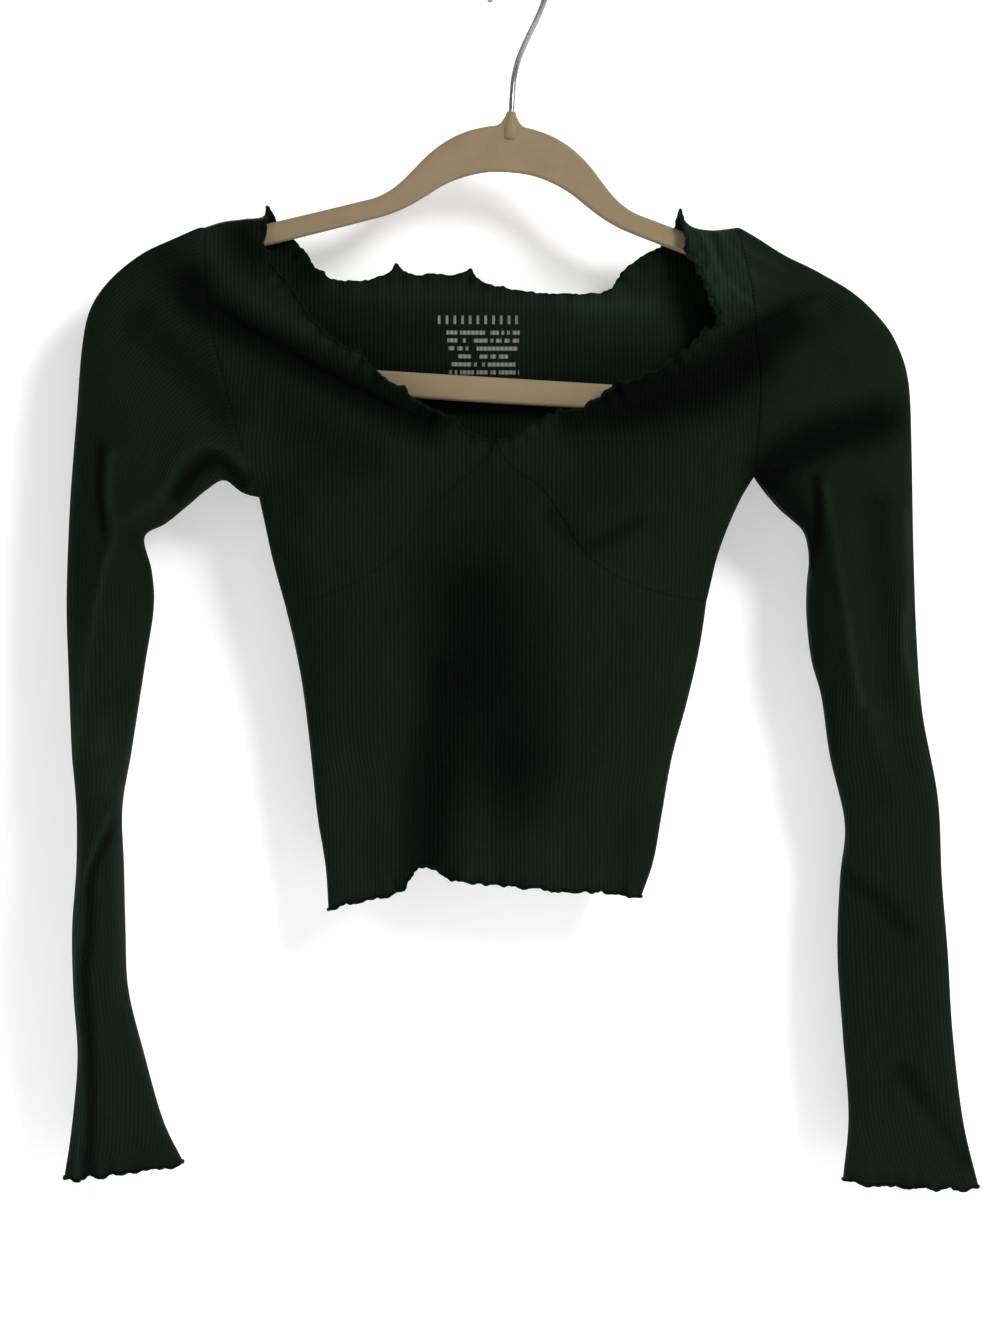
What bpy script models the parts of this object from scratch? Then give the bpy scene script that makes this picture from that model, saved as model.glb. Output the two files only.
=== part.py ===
"""Long-sleeved rib-knit crop top hanging on a slim flocked hanger.

Frame: metres, +Z up, the front faces -Y, the wearer's left is +X.  The origin
is the inner top of the hook's loop, where a rail carries it.  Lengths in this
file are millimetres and are scaled once, when a mesh is made.

The cloth is cut and sewn from six pieces: a lower front whose top edge rises
to a point at the middle of the neckline, a bust panel on each side of that
point, one back and two set-in sleeves.  Each is a thin wall whose outer face
is a surface over the X-Z plane: a short table gives the edges and the depth
functions give Y.
"""

import bmesh
import bpy
import numpy as np
from math import cos, radians, sin

MM = 0.001

# ---------------------------------------------------------------- sizes, mm
CLOTH = 1.2  # wall of every cloth piece
SEAM_GAP = 0.3  # between two pieces at a seam
HANGER_TILT = 3.5  # degrees, wearer's left side lower
HANGER_THICK = 5.5  # front to back
HANGER_ROUND = 1.8  # rounding of its long edges
WIRE = 3.2  # hook wire, diameter
HOOK_RADIUS = 20.0  # centre line of the loop
HOOK_SWIVEL = 38.0  # degrees, the loop turned out of the hanger's plane
BOSS_TOP, BOSS_BOTTOM = -86.0, -102.0  # cone that holds the wire, own Z
BORE_DEPTH = 9.0
SHOULDER_ROUND = 5.0  # how soon the cloth is at full depth below the arm
SIDE_ROUND = 52.0  # the same, in from a side seam

# Outline of the hanger's right half in its own upright frame (x, z).
HANGER_OUTLINE = (
    (0, -88.4), (3.2, -88.8), (4.6, -91.4), (7.4, -93.8), (13, -94.9), (22, -97.6), (31, -102), (38.5, -107.4), (45, -113.6),
    (51, -120.6), (57, -127.4), (63, -132.6), (70, -136.6), (80, -139.9), (110, -149.1),
    (140, -158.2), (170, -167.4), (182, -171.8), (192, -177.8), (200.5, -185.2),
    (207.8, -194.6), (212.6, -204.4), (214.6, -214), (213.4, -225.5), (208, -235.4),
    (198.5, -241.6), (186, -243.5), (140, -243.5), (90, -243.5), (45, -243.5), (0, -243.5),
)
HANGER_HOLE = (
    (0, -118.4), (10, -119), (19, -121), (28, -124.4), (36, -128.8), (43, -133.8),
    (51, -139.2), (60, -144), (70, -147.8), (110, -160.6), (140, -170), (170, -179.2),
    (181, -183.2), (190, -188.6), (197, -195.8), (201.4, -204.6), (202.6, -213.4),
    (200.8, -221.6), (195.4, -227.6), (187, -229.7), (140, -229.7), (90, -229.7),
    (45, -229.7), (0, -229.7),
)
# Hook wire below its loop: offset from the hanger's axis in the loop's plane, height.
HOOK_STEM = ((0, -94), (0, -84), (0, -74), (0.6, -66), (3, -57), (8.2, -46.5), (14.2, -36), (18.2, -26.5))

# ------------------------------------------------- cloth edges, mm (x, z)
SHOULDER_SEAM = {  # neck tip to the top of the armhole
    "left": ((86, -139), (90.4, -143.0), (94, -148.4), (103.4, -149.8), (110, -149.2), (115.6, -148.4)),
    "right": ((-136.6, -137.6), (-139.8, -142.4), (-149, -143.6), (-161, -145.2), (-171, -148.2)),
}
ARMHOLE = {  # top of the armhole to the underarm
    "left": ((115.6, -148.4), (120.5, -170), (125, -200), (127.6, -229.5), (126.6, -256), (125.8, -283)),
    "right": ((-171, -148.2), (-170.6, -170), (-168.6, -193), (-161.5, -222), (-152, -260), (-141.5, -294)),
}
SIDE_UPPER = {  # underarm to the end of the bust seam
    "left": ((125.8, -283), (119.6, -293), (112.6, -308), (106, -326), (100.2, -350)),
    "right": ((-141.5, -294), (-138, -310), (-134, -328), (-127.4, -352)),
}
SIDE_LOWER = {  # end of the bust seam to the hem
    "left": ((100.2, -350), (96, -377), (89.5, -405), (81.6, -434), (76, -465.5), (71.6, -490), (65, -509.5)),
    "right": ((-127.4, -352), (-122.6, -372), (-118, -396), (-114, -428), (-110, -465.5), (-105.6, -493), (-104, -516.5)),
}
BUST_SEAM = {  # point of the lower front, at the neckline, to the side seam
    "left": ((-14, -265.4), (-6, -278.4), (11, -291), (22, -307), (34, -325), (54, -339), (78, -347), (100.2, -350)),
    "right": ((-14, -265.4), (-23, -278), (-42, -294), (-54, -308), (-70, -327), (-88, -340), (-108, -348), (-127.4, -352)),
}
FRONT_NECK = {  # point of the lower front up to the neck tip
    "left": (
        (-14, -265.4), (-3, -262.6), (6, -256.4), (20, -250), (33, -247), (43, -240.6), (60, -232),
        (77, -223.6), (88, -216), (98, -208), (105.6, -202.6), (106, -196), (102.6, -187), (97, -176), (91, -162),
        (87, -149), (86, -139),
    ),
    "right": (
        (-14, -265.4), (-27, -261.6), (-39, -252.6), (-52, -246), (-63, -239.6), (-78, -228), (-90, -218.6),
        (-104, -208), (-115, -196), (-123, -182.6), (-133.6, -170), (-138.6, -160), (-137, -148), (-136.6, -137.6),
    ),
}
BACK_NECK = (  # wearer's right neck tip to the left one
    (-136.6, -137.6), (-130, -149), (-121, -157), (-116, -163), (-112, -169.6), (-104, -175.4), (-88, -176.8),
    (-70, -173.6), (-56, -173.8), (-34, -174.2), (-18, -178.4), (4, -182.6), (28, -183.8), (46, -182.6), (52, -178),
    (57, -171.6), (65, -164), (76, -158), (83, -149), (86, -139),
)
HEM_FRONT = (
    (-104, -516.5), (-95, -513), (-80, -509.4), (-66, -505.6), (-60.4, -500), (-57, -494), (-49, -492.6),
    (-41, -497.4), (-28, -500.6), (-10, -502), (8, -503.6), (24, -505.8), (40, -505.4), (53, -507.6), (65, -509.5),
)
HEM_BACK = (
    (-104, -516.5), (-92, -508), (-77, -499.6), (-62, -491.4), (-49, -489.4), (-35, -493), (-16, -497.6),
    (8, -499.6), (30, -501.4), (48, -503), (65, -509.5),
)

# ------------------------------------------------------------------ depth
# height, front, back: how far the cloth stands off the middle plane.
BODY_DEPTH = (
    (-120, 5.4, 5.2), (-150, 5.8, 5.4), (-165, 7.8, 6.2), (-190, 12.0, 7.6), (-230, 16.6, 9.2),
    (-265, 18.6, 10.2), (-300, 19.0, 11.2), (-350, 18.2, 12.0), (-420, 15.6, 12.6), (-470, 14.0, 12.8), (-530, 13.2, 12.6),
)
# path of a crease, its half width, and how far it stands out (ridge) or in (trough)
FRONT_FOLDS = (
    (((-178, -177), (-151, -203), (-125, -218), (-103, -229), (-80, -241), (-50, -254)), 9.5, -5.6),  # under the rolled neck edge
    (((-150, -178), (-128, -196), (-104, -212), (-84, -226)), 9.0, 2.6),  # the roll itself
    (((28, -250), (57, -242), (86, -232), (109, -224), (126, -211), (143, -199), (161, -192)), 12.0, -7.0),  # deep fold beside the left strap
    (((110, -168), (116, -180), (132, -190)), 11.0, 3.2),  # strap standing forward
    (((-205, -200), (-188, -217), (-170, -235), (-158, -248)), 9.0, -3.4),
    (((-206, -266), (-180, -276), (-160, -284)), 8.0, -3.0),  # gathers at the right underarm
    (((-222, -232), (-196, -252), (-176, -258)), 9.0, 2.2),
    (((132, -279), (145, -270), (160, -263), (180, -257), (198, -252)), 9.5, -6.0),  # under the left sleeve head
    (((136, -250), (160, -240), (192, -226)), 10.0, 2.6),
    (((-44, -352), (-48, -396), (-46, -440)), 22.0, -6.0),  # hollow at the middle
    (((18, -380), (20, -430), (16, -470)), 22.0, 3.4),
    (((-76, -432), (-74, -480), (-72, -512)), 11.0, 3.8),  # pleat standing forward at the hem
    (((-49, -446), (-48, -480), (-47, -505)), 9.5, -4.6),
    (((-16, -452), (-16, -508)), 6.5, -2.2),
    (((2, -446), (3, -510)), 7.0, 2.0),
    (((21, -456), (22, -510)), 6.5, -2.2),
    (((38, -440), (40, -510)), 6.5, 1.8),
    (((54, -450), (53, -510)), 6.0, -1.8),
    (((16, -304), (34, -321), (62, -308)), 7.0, -1.8),
    (((-240, -300), (-236, -352), (-234, -400), (-236, -436)), 7.0, 2.4),  # sleeve ridges
    (((-208, -318), (-206, -352), (-212, -392), (-222, -430)), 8.0, -3.0),
    (((164, -312), (172, -350), (180, -400), (194, -440)), 8.0, 2.4),
    (((190, -310), (194, -352), (198, -400), (206, -440)), 7.0, -2.8),
    (((172, -498), (188, -508), (206, -526)), 8.0, -3.4),  # bend at the elbow
    (((176, -480), (198, -490)), 8.0, 2.2),
    (((204, -602), (222, -626), (238, -652)), 8.0, -3.2),  # slant above the left cuff
)
BACK_FOLDS = (
    (((-120, -196), (-84, -210), (-44, -216)), 13.0, -2.4),
    (((28, -208), (66, -214), (104, -200)), 13.0, -2.4),
    (((-146, -280), (-120, -262), (-98, -236)), 12.0, -2.6),
    (((124, -272), (104, -250), (84, -236)), 12.0, -2.4),
    (((-30, -330), (-24, -390), (-30, -440)), 22.0, -3.0),
    (((34, -400), (36, -450), (34, -510)), 12.0, 2.2),
    (((-62, -430), (-66, -470), (-66, -512)), 11.0, -3.0),
    (((8, -440), (8, -510)), 8.0, -2.2),
    (((-210, -230), (-186, -250), (-164, -280)), 10.0, -2.6),
    (((184, -230), (160, -256), (140, -292)), 10.0, -3.0),
    (((-232, -330), (-230, -372), (-226, -420)), 7.0, 2.4),
    (((184, -340), (190, -390), (200, -440)), 8.0, 2.4),
    (((176, -500), (200, -512)), 8.0, -3.0),
)
# Sleeves, one row a section: outer edge x z, inner edge x z, depth in front and
# behind, and fullness (small is boxy, large is thin at its edges).
SLEEVE = {
    "right": (
        (-171, -148.2, -141.5, -294, 12, 9, 0.5),
        (-186, -154.8, -150.5, -291.4, 12, 9, 0.5),
        (-204, -163.2, -160.6, -284.6, 12, 10, 0.5),
        (-221, -176.8, -170, -289.6, 13, 11, 0.5),
        (-232, -192.6, -181, -299, 14, 12, 0.55),
        (-236.6, -213, -192, -308, 15, 13, 0.6),
        (-239, -244, -203.6, -315.6, 16, 14, 0.65),
        (-243, -296, -199.6, -334, 17, 15, 0.7),
        (-245, -348, -198.6, -354, 18, 16, 0.75),
        (-244, -388, -203.6, -386, 18, 18, 0.8),
        (-242.2, -430, -210.6, -430, 18, 22, 0.8),
        (-239.4, -462, -216, -462, 21, 24, 0.8),
        (-239.2, -494, -215, -494, 23, 23, 0.85),
        (-241.6, -526, -214, -528, 22, 22, 0.9),
        (-241, -560, -212.4, -560, 20, 20, 0.9),
        (-239, -596, -204, -594, 17, 17, 0.85),
        (-242.4, -634, -193.6, -630, 13, 14, 0.8),
        (-246.4, -661, -182.6, -653, 11, 12, 0.75),
    ),
    "left": (
        (115.6, -148.4, 125.8, -283, 12, 9, 0.5),
        (127, -155, 132.4, -291.6, 12, 9, 0.5),
        (142, -164.4, 139.6, -299.8, 12, 10, 0.5),
        (160, -173, 146.6, -306, 13, 10, 0.5),
        (178, -183.4, 152.4, -311.8, 14, 11, 0.5),
        (192, -196, 155, -320, 15, 12, 0.55),
        (202, -210, 155.6, -330, 15, 13, 0.6),
        (209, -232, 154.4, -343, 15, 14, 0.65),
        (210.8, -272, 154.4, -360, 14, 14, 0.7),
        (211.6, -318, 157, -382, 14, 14, 0.7),
        (213.4, -368, 162.4, -402, 13, 14, 0.75),
        (216.6, -410, 167, -434, 13, 14, 0.75),
        (225, -456, 175, -470, 12, 14, 0.75),
        (227.2, -500, 172.4, -500, 12, 13, 0.75),
        (230.4, -540, 171, -540, 12, 13, 0.75),
        (233, -583, 173.8, -583, 12, 13, 0.75),
        (238.6, -630, 177, -628, 12, 13, 0.75),
        (247, -666, 174, -662, 13, 14, 0.75),
    ),
}

# Grid counts: places down an armhole as shares of its length, then steps.
ARMHOLE_STATIONS = (0, 0.012, 0.04, 0.10, 0.20, 0.34, 0.5, 0.66, 0.80, 0.91, 0.975, 1)
BUST_ACROSS, BUST_SIDE = 13, 3
CENTRE_ROWS = 13
BACK_SHOULDER, BACK_NECK_STEPS, BACK_SIDE = 4, 20, 11
SLEEVE_RINGS = 26
HANGER_STEPS = 44  # along each half of its outline
CUFF_WAVE = 1.4  # ripple of a cuff's edge


# ------------------------------------------------------------ curve helpers
def smooth_path(points, steps=16):
    """Catmull-Rom curve through the points, as a dense polyline."""
    p = np.asarray(points, float)
    p = np.vstack([2 * p[0] - p[1], p, 2 * p[-1] - p[-2]])
    t = np.linspace(0, 1, steps, endpoint=False)[:, None]
    spans = [
        0.5 * (2 * b + (c - a) * t + (2 * a - 5 * b + 4 * c - d) * t**2 + (3 * b - a - 3 * c + d) * t**3)
        for a, b, c, d in zip(p, p[1:], p[2:], p[3:])
    ]
    return np.vstack(spans + [p[-2][None]])


def along(points, shares):
    """Places on the smooth curve through the points, at shares of its length."""
    path = smooth_path(points)
    run = np.concatenate([[0], np.cumsum(np.linalg.norm(np.diff(path, axis=0), axis=1))])
    at = np.asarray(shares, float) * run[-1]
    return np.stack([np.interp(at, run, path[:, k]) for k in range(path.shape[1])], axis=-1)


def steps(n):
    return np.linspace(0, 1, n + 1)


def distance(xz, points):
    """Distance of each place from a polyline in the X-Z plane."""
    p = np.asarray(points, float)
    a, ab = p[:-1], p[1:] - p[:-1]
    rel = xz[..., None, :] - a
    share = np.clip((rel * ab).sum(-1) / (ab**2).sum(-1), 0, 1)
    return np.linalg.norm(rel - share[..., None] * ab, axis=-1).min(-1)


def coons(bottom, top, start, end):
    """Grid filled in between four edges: rows run bottom to top, columns start to end."""
    v, u = steps(len(start) - 1)[:, None, None], steps(len(bottom) - 1)[None, :, None]
    ruled = (1 - v) * bottom[None] + v * top[None] + (1 - u) * start[:, None] + u * end[:, None]
    corner = (1 - v) * ((1 - u) * bottom[0] + u * bottom[-1]) + v * ((1 - u) * top[0] + u * top[-1])
    return ruled - corner


def pull_in(grid, edge, by):
    """Moves one edge of a grid into it, square to the edge."""
    g = {"first_row": grid, "last_row": grid[::-1]}.get(edge)
    if g is None:
        g = grid.transpose(1, 0, 2) if edge == "first_col" else grid[:, ::-1].transpose(1, 0, 2)
    tangent = np.gradient(g[0], axis=0)
    square = np.stack([-tangent[:, 1], tangent[:, 0]], -1)
    square /= np.linalg.norm(square, axis=-1, keepdims=True)
    square *= np.sign((square * (g[1] - g[0])).sum(-1, keepdims=True))
    g[0] += by * square
    return grid


# ------------------------------------------------------------ depth of cloth
SHOULDER_LINES = {s: smooth_path(SHOULDER_SEAM[s], 6) for s in SHOULDER_SEAM}
SIDE_LINES = {s: smooth_path(SIDE_UPPER[s] + SIDE_LOWER[s][1:], 4) for s in SIDE_UPPER}


def rounding(d, radius):
    """A quarter ellipse: 0 at an edge, 1 at the radius and beyond."""
    return np.sqrt(1 - (1 - np.clip(d / radius, 0, 1)) ** 2)


def folds(xz, table):
    """Sum of the soft creases: each a bell across its path, fading past its ends."""
    total = np.zeros(xz.shape[:-1])
    for path, half_width, height in table:
        total += height * np.exp(-((distance(xz, path) / half_width) ** 2))
    return total


def body_depth(xz, side):
    """How far the body's outer face stands off the middle plane, front or back."""
    rows = np.asarray(BODY_DEPTH)[::-1]
    depth = np.interp(xz[..., 1], rows[:, 0], rows[:, 1 if side == "front" else 2])
    table = FRONT_FOLDS if side == "front" else BACK_FOLDS
    depth = np.maximum(depth + folds(xz, table), 5.3)
    over_arm = np.minimum(*(distance(xz, line) for line in SHOULDER_LINES.values()))
    from_side = np.minimum(*(distance(xz, line) for line in SIDE_LINES.values()))
    shape = rounding(over_arm, SHOULDER_ROUND) * rounding(from_side, SIDE_ROUND)
    return SEAM_GAP / 2 + (depth - SEAM_GAP / 2) * shape


def body_normal(xz, side):
    """Outward normals of the body's outer face."""
    h = 0.25
    dx = (body_depth(xz + (h, 0), side) - body_depth(xz - (h, 0), side)) / (2 * h)
    dz = (body_depth(xz + (0, h), side) - body_depth(xz - (0, h), side)) / (2 * h)
    n = np.stack([-dx, np.full(dx.shape, -1.0 if side == "front" else 1.0), -dz], -1)
    return n / np.linalg.norm(n, axis=-1, keepdims=True)


def body_wall(xz, side):
    """Outer and inner faces of a body piece from its grid in the X-Z plane."""
    sign = -1.0 if side == "front" else 1.0
    outer = np.stack([xz[..., 0], sign * body_depth(xz, side), xz[..., 1]], -1)
    inside = xz.copy()  # a seam edge takes its normal from just inside it
    inside[0] += 0.08 * (xz[1] - xz[0])
    inside[-1] += 0.08 * (xz[-2] - xz[-1])
    inside[:, 0] += 0.08 * (xz[:, 1] - xz[:, 0])
    inside[:, -1] += 0.08 * (xz[:, -2] - xz[:, -1])
    inner = outer - CLOTH * body_normal(inside, side)
    inner[..., 1] = sign * np.maximum(sign * inner[..., 1], SEAM_GAP / 2)
    return outer, inner


# ------------------------------------------------------------- mesh makers
def material(name, colour, roughness, metallic=0.0):
    mat = bpy.data.materials.new(name)
    mat.use_nodes = True
    shader = mat.node_tree.nodes["Principled BSDF"]
    shader.inputs["Base Color"].default_value = (*colour, 1)
    shader.inputs["Roughness"].default_value = roughness
    shader.inputs["Metallic"].default_value = metallic
    mat.diffuse_color = (*colour, 1)
    return mat


def place(name, data, mat):
    obj = bpy.data.objects.new(name, data)
    bpy.context.scene.collection.objects.link(obj)
    data.materials.append(mat)
    return obj


def wall(name, outer, inner, mat, tube=False):
    """A closed thin wall between two grids of places; a tube joins its columns round."""
    rows, cols = outer.shape[:2]
    bm = bmesh.new()
    faces = []
    for grid in (outer, inner):
        faces.append([[bm.verts.new(p * MM) for p in row] for row in grid])
    out, inn = faces
    last = cols if tube else cols - 1
    for r in range(rows - 1):
        for c in range(last):
            d = (c + 1) % cols
            bm.faces.new((out[r][c], out[r][d], out[r + 1][d], out[r + 1][c]))
            bm.faces.new((inn[r][c], inn[r + 1][c], inn[r + 1][d], inn[r][d]))
    for c in range(last):
        d = (c + 1) % cols
        bm.faces.new((out[0][c], inn[0][c], inn[0][d], out[0][d]))
        bm.faces.new((out[-1][c], out[-1][d], inn[-1][d], inn[-1][c]))
    if not tube:
        for r in range(rows - 1):
            bm.faces.new((out[r][0], out[r + 1][0], inn[r + 1][0], inn[r][0]))
            bm.faces.new((out[r][-1], inn[r][-1], inn[r + 1][-1], out[r + 1][-1]))
    bmesh.ops.triangulate(bm, faces=bm.faces, quad_method="BEAUTY")  # no slivers where the strap is narrow
    bmesh.ops.recalc_face_normals(bm, faces=bm.faces)
    mesh = bpy.data.meshes.new(name)
    bm.to_mesh(mesh)
    bm.free()
    mesh.shade_smooth()
    mesh.set_sharp_from_angle(angle=radians(50))
    return place(name, mesh, mat)


# ------------------------------------------------------------------- pieces
def bust_panel(side, name, mat):
    """Rows run from the bust seam up to the shoulder, columns from neckline to armhole."""
    stations = 1 - np.asarray(ARMHOLE_STATIONS)[::-1]
    lower = along(SIDE_UPPER[side][::-1], steps(BUST_SIDE))
    upper = along(ARMHOLE[side][::-1], stations)
    outer_edge = np.vstack([lower[:-1], upper])
    length_down = 1 - np.asarray(ARMHOLE_STATIONS)
    share = np.concatenate([steps(BUST_SIDE)[:-1] * 0.24, 0.24 + 0.76 * length_down[::-1]])
    neck_edge = along(FRONT_NECK[side], share)
    grid = coons(
        along(BUST_SEAM[side], steps(BUST_ACROSS)), along(SHOULDER_SEAM[side], steps(BUST_ACROSS)), neck_edge, outer_edge
    )
    pull_in(grid, "first_row", SEAM_GAP / 2)
    armhole_rows = grid[BUST_SIDE:]
    pull_in(armhole_rows, "last_col", SEAM_GAP / 2)
    return wall(name, *body_wall(grid, "front"), mat)


def lower_front(name, mat):
    """Rows run from the hem up to the two bust seams, columns from right to left."""
    right, left = (along(BUST_SEAM[s], steps(BUST_ACROSS)) for s in ("right", "left"))
    top = np.vstack([right[::-1], left[1:]])
    rows = steps(CENTRE_ROWS)
    grid = coons(
        along(HEM_FRONT, steps(2 * BUST_ACROSS)),
        top,
        along(SIDE_LOWER["right"][::-1], rows),
        along(SIDE_LOWER["left"][::-1], rows),
    )
    pull_in(grid[:, : BUST_ACROSS + 1], "last_row", SEAM_GAP / 2)
    pull_in(grid[:, BUST_ACROSS:], "last_row", SEAM_GAP / 2)
    return wall(name, *body_wall(grid, "front"), mat)


def back_panel(name, mat):
    """Rows run from the hem up to shoulders and neckline, columns from right to left."""
    stations = 1 - np.asarray(ARMHOLE_STATIONS)[::-1]
    edges = {}
    for s in ("right", "left"):
        seam = (SIDE_UPPER[s] + SIDE_LOWER[s][1:])[::-1]
        edges[s] = np.vstack([along(seam, steps(BACK_SIDE))[:-1], along(ARMHOLE[s][::-1], stations)])
    top = np.vstack([
        along(SHOULDER_SEAM["right"][::-1], steps(BACK_SHOULDER))[:-1],
        along(BACK_NECK, steps(BACK_NECK_STEPS)),
        along(SHOULDER_SEAM["left"], steps(BACK_SHOULDER))[1:],
    ])
    grid = coons(along(HEM_BACK, steps(len(top) - 1)), top, edges["right"], edges["left"])
    armhole_rows = grid[BACK_SIDE:]
    pull_in(armhole_rows, "first_col", SEAM_GAP / 2)
    pull_in(armhole_rows, "last_col", SEAM_GAP / 2)
    return wall(name, *body_wall(grid, "back"), mat)


def sleeve(side, name, mat):
    """Rings from the armhole to the cuff; a ring goes round from its outer edge over the front."""
    rows = along(np.asarray(SLEEVE[side], float), steps(SLEEVE_RINGS))
    half = np.asarray(ARMHOLE_STATIONS)
    there = np.concatenate([half, half[-2:0:-1]])  # share from the outer edge to the inner one
    front = np.arange(len(there)) < len(half)
    edge = along(ARMHOLE[side], half)
    bow = edge - (edge[0] + half[:, None] * (edge[-1] - edge[0]))  # armhole's own curve
    bow = np.vstack([bow, bow[-2:0:-1]])
    round_ = 2 * np.sqrt(there * (1 - there))  # half ellipse over the share
    outer = np.zeros((len(rows), len(there), 3))
    for k, row in enumerate(rows):
        hold = max(0.0, 1 - k / 5) ** 2  # how much of the armhole's shape a ring keeps
        a, b = row[0:2], row[2:4]
        xz = a + there[:, None] * (b - a) + hold * bow
        depth = np.where(front, row[4], row[5]) * round_ ** row[6]
        crease = np.where(front, folds(xz, FRONT_FOLDS), folds(xz, BACK_FOLDS)) * round_**0.5
        depth = np.maximum(depth + crease, np.minimum(depth, 5.3))
        body = np.where(front, body_depth(xz, "front"), body_depth(xz, "back"))
        depth = hold * body + (1 - hold) * depth
        depth[(there == 0) | (there == 1)] = 0
        if k == len(rows) - 1:
            xz[:, 1] += CUFF_WAVE * np.sin(5 * np.pi * there + np.where(front, 0, 1))
        outer[k] = np.stack([xz[:, 0], np.where(front, -depth, depth), xz[:, 1]], -1)
    # The first ring lies on the armhole, half a seam gap outside the body's edge.
    tangent = np.gradient(edge, axis=0)
    tangent /= np.linalg.norm(tangent, axis=-1, keepdims=True)
    away = np.stack([-tangent[:, 1], tangent[:, 0]], -1)
    away *= np.sign(away[:, :1]) * (1 if side == "left" else -1)
    away = np.vstack([away, away[-2:0:-1]])
    outer[0][:, [0, 2]] += SEAM_GAP / 2 * away
    round_about = np.roll(outer, -1, axis=1) - np.roll(outer, 1, axis=1)
    down = np.gradient(outer, axis=0)
    normal = np.cross(round_about, down)
    normal /= np.linalg.norm(normal, axis=-1, keepdims=True)
    middle = outer.mean(axis=1, keepdims=True)
    if ((outer - middle) * normal).sum() < 0:
        normal = -normal
    body_n = np.where(front[:, None], body_normal(outer[0][:, [0, 2]], "front"), body_normal(outer[0][:, [0, 2]], "back"))
    inside_edge = (there > 0) & (there < 1)
    normal[0][inside_edge] = body_n[inside_edge]
    for end, way in ((0, -tangent[0]), (len(half) - 1, tangent[-1])):  # the two ends face along the seam
        normal[0][end] = (way[0], 0, way[1])
    inner = outer - CLOTH * normal
    return wall(name, outer, inner, mat, tube=True)


def tilt(obj):
    obj.rotation_euler = (0, radians(HANGER_TILT), 0)
    return obj


def both_halves(half):
    """The whole outline from its right half, evenly stepped, clockwise from the top."""
    right = along(half, steps(HANGER_STEPS))
    return np.vstack([right, (right * (-1, 1))[-2:0:-1]])


def inset(ring, by):
    """Moves a closed clockwise outline inward, square to itself."""
    t = np.roll(ring, -1, axis=0) - np.roll(ring, 1, axis=0)
    square = np.stack([t[:, 1], -t[:, 0]], -1)
    return ring + by * square / np.linalg.norm(square, axis=-1, keepdims=True)


def hanger(name, mat):
    """Flat moulded body: its outline and opening joined round a section with rounded edges."""
    turn = np.radians((90, 45, 0, -45, -90))
    rings = []
    for half, way, order in ((HANGER_OUTLINE, 1, 1), (HANGER_HOLE, -1, -1)):
        edge = both_halves(half)
        for a in turn[::order]:
            ring = inset(edge, way * HANGER_ROUND * (1 - cos(a)))
            y = -(HANGER_THICK / 2 - HANGER_ROUND) * np.sign(round(sin(a), 6)) - HANGER_ROUND * sin(a)
            rings.append(np.stack([ring[:, 0], np.full(len(ring), y), ring[:, 1]], -1))
    bm = bmesh.new()
    loops = [[bm.verts.new(p * MM) for p in ring] for ring in rings]
    for one, two in zip(loops, loops[1:] + loops[:1]):
        for k in range(len(one)):
            n = (k + 1) % len(one)
            bm.faces.new((one[k], one[n], two[n], two[k]))
    bmesh.ops.recalc_face_normals(bm, faces=bm.faces)
    mesh = bpy.data.meshes.new(name)
    bm.to_mesh(mesh)
    bm.free()
    mesh.shade_smooth()
    mesh.set_sharp_from_angle(angle=radians(40))
    body = tilt(place(name, mesh, mat))
    boss = cutter("boss", 4.4, 2.6, BOSS_BOTTOM, BOSS_TOP, 20)
    bore = cutter("bore", WIRE / 2 + 0.3, WIRE / 2 + 0.3, BOSS_TOP - BORE_DEPTH, BOSS_TOP + 5, 16)
    for tool, operation in ((boss, "UNION"), (bore, "DIFFERENCE")):
        step = body.modifiers.new(tool.name, "BOOLEAN")
        step.object, step.operation, step.solver = tool, operation, "EXACT"
    return body


def cutter(name, low_radius, high_radius, bottom, top, sides):
    bm = bmesh.new()
    bmesh.ops.create_cone(
        bm, cap_ends=True, segments=sides, radius1=low_radius * MM, radius2=high_radius * MM, depth=(top - bottom) * MM
    )
    bmesh.ops.translate(bm, verts=bm.verts, vec=(0, 0, (top + bottom) / 2 * MM))
    mesh = bpy.data.meshes.new(name)
    bm.to_mesh(mesh)
    bm.free()
    obj = bpy.data.objects.new(name, mesh)
    bpy.context.scene.collection.objects.link(obj)
    obj.hide_render = True
    obj.display_type = "WIRE"
    return tilt(obj)


def hook(name, mat):
    """Wire that rises out of the cone, bends aside and turns over into an open loop."""
    centre = WIRE / 2 - HOOK_RADIUS  # height of the loop's middle
    turn = np.radians(np.linspace(0, 198, 24))
    loop = np.stack([HOOK_RADIUS * np.cos(turn), centre + HOOK_RADIUS * np.sin(turn)], -1)
    path = along(np.vstack([HOOK_STEM, loop]), steps(52))
    data = bpy.data.curves.new(name, "CURVE")
    data.dimensions = "3D"
    data.bevel_depth = WIRE / 2 * MM
    data.bevel_resolution = 3
    data.use_fill_caps = True
    spline = data.splines.new("POLY")
    spline.points.add(len(path) - 1)
    swivel = radians(HOOK_SWIVEL)
    for point, (aside, z) in zip(spline.points, path):
        x = aside * cos(swivel)
        point.co = (x * MM, -aside * sin(swivel) * MM, z * MM, 1)
    return tilt(place(name, data, mat))


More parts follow.
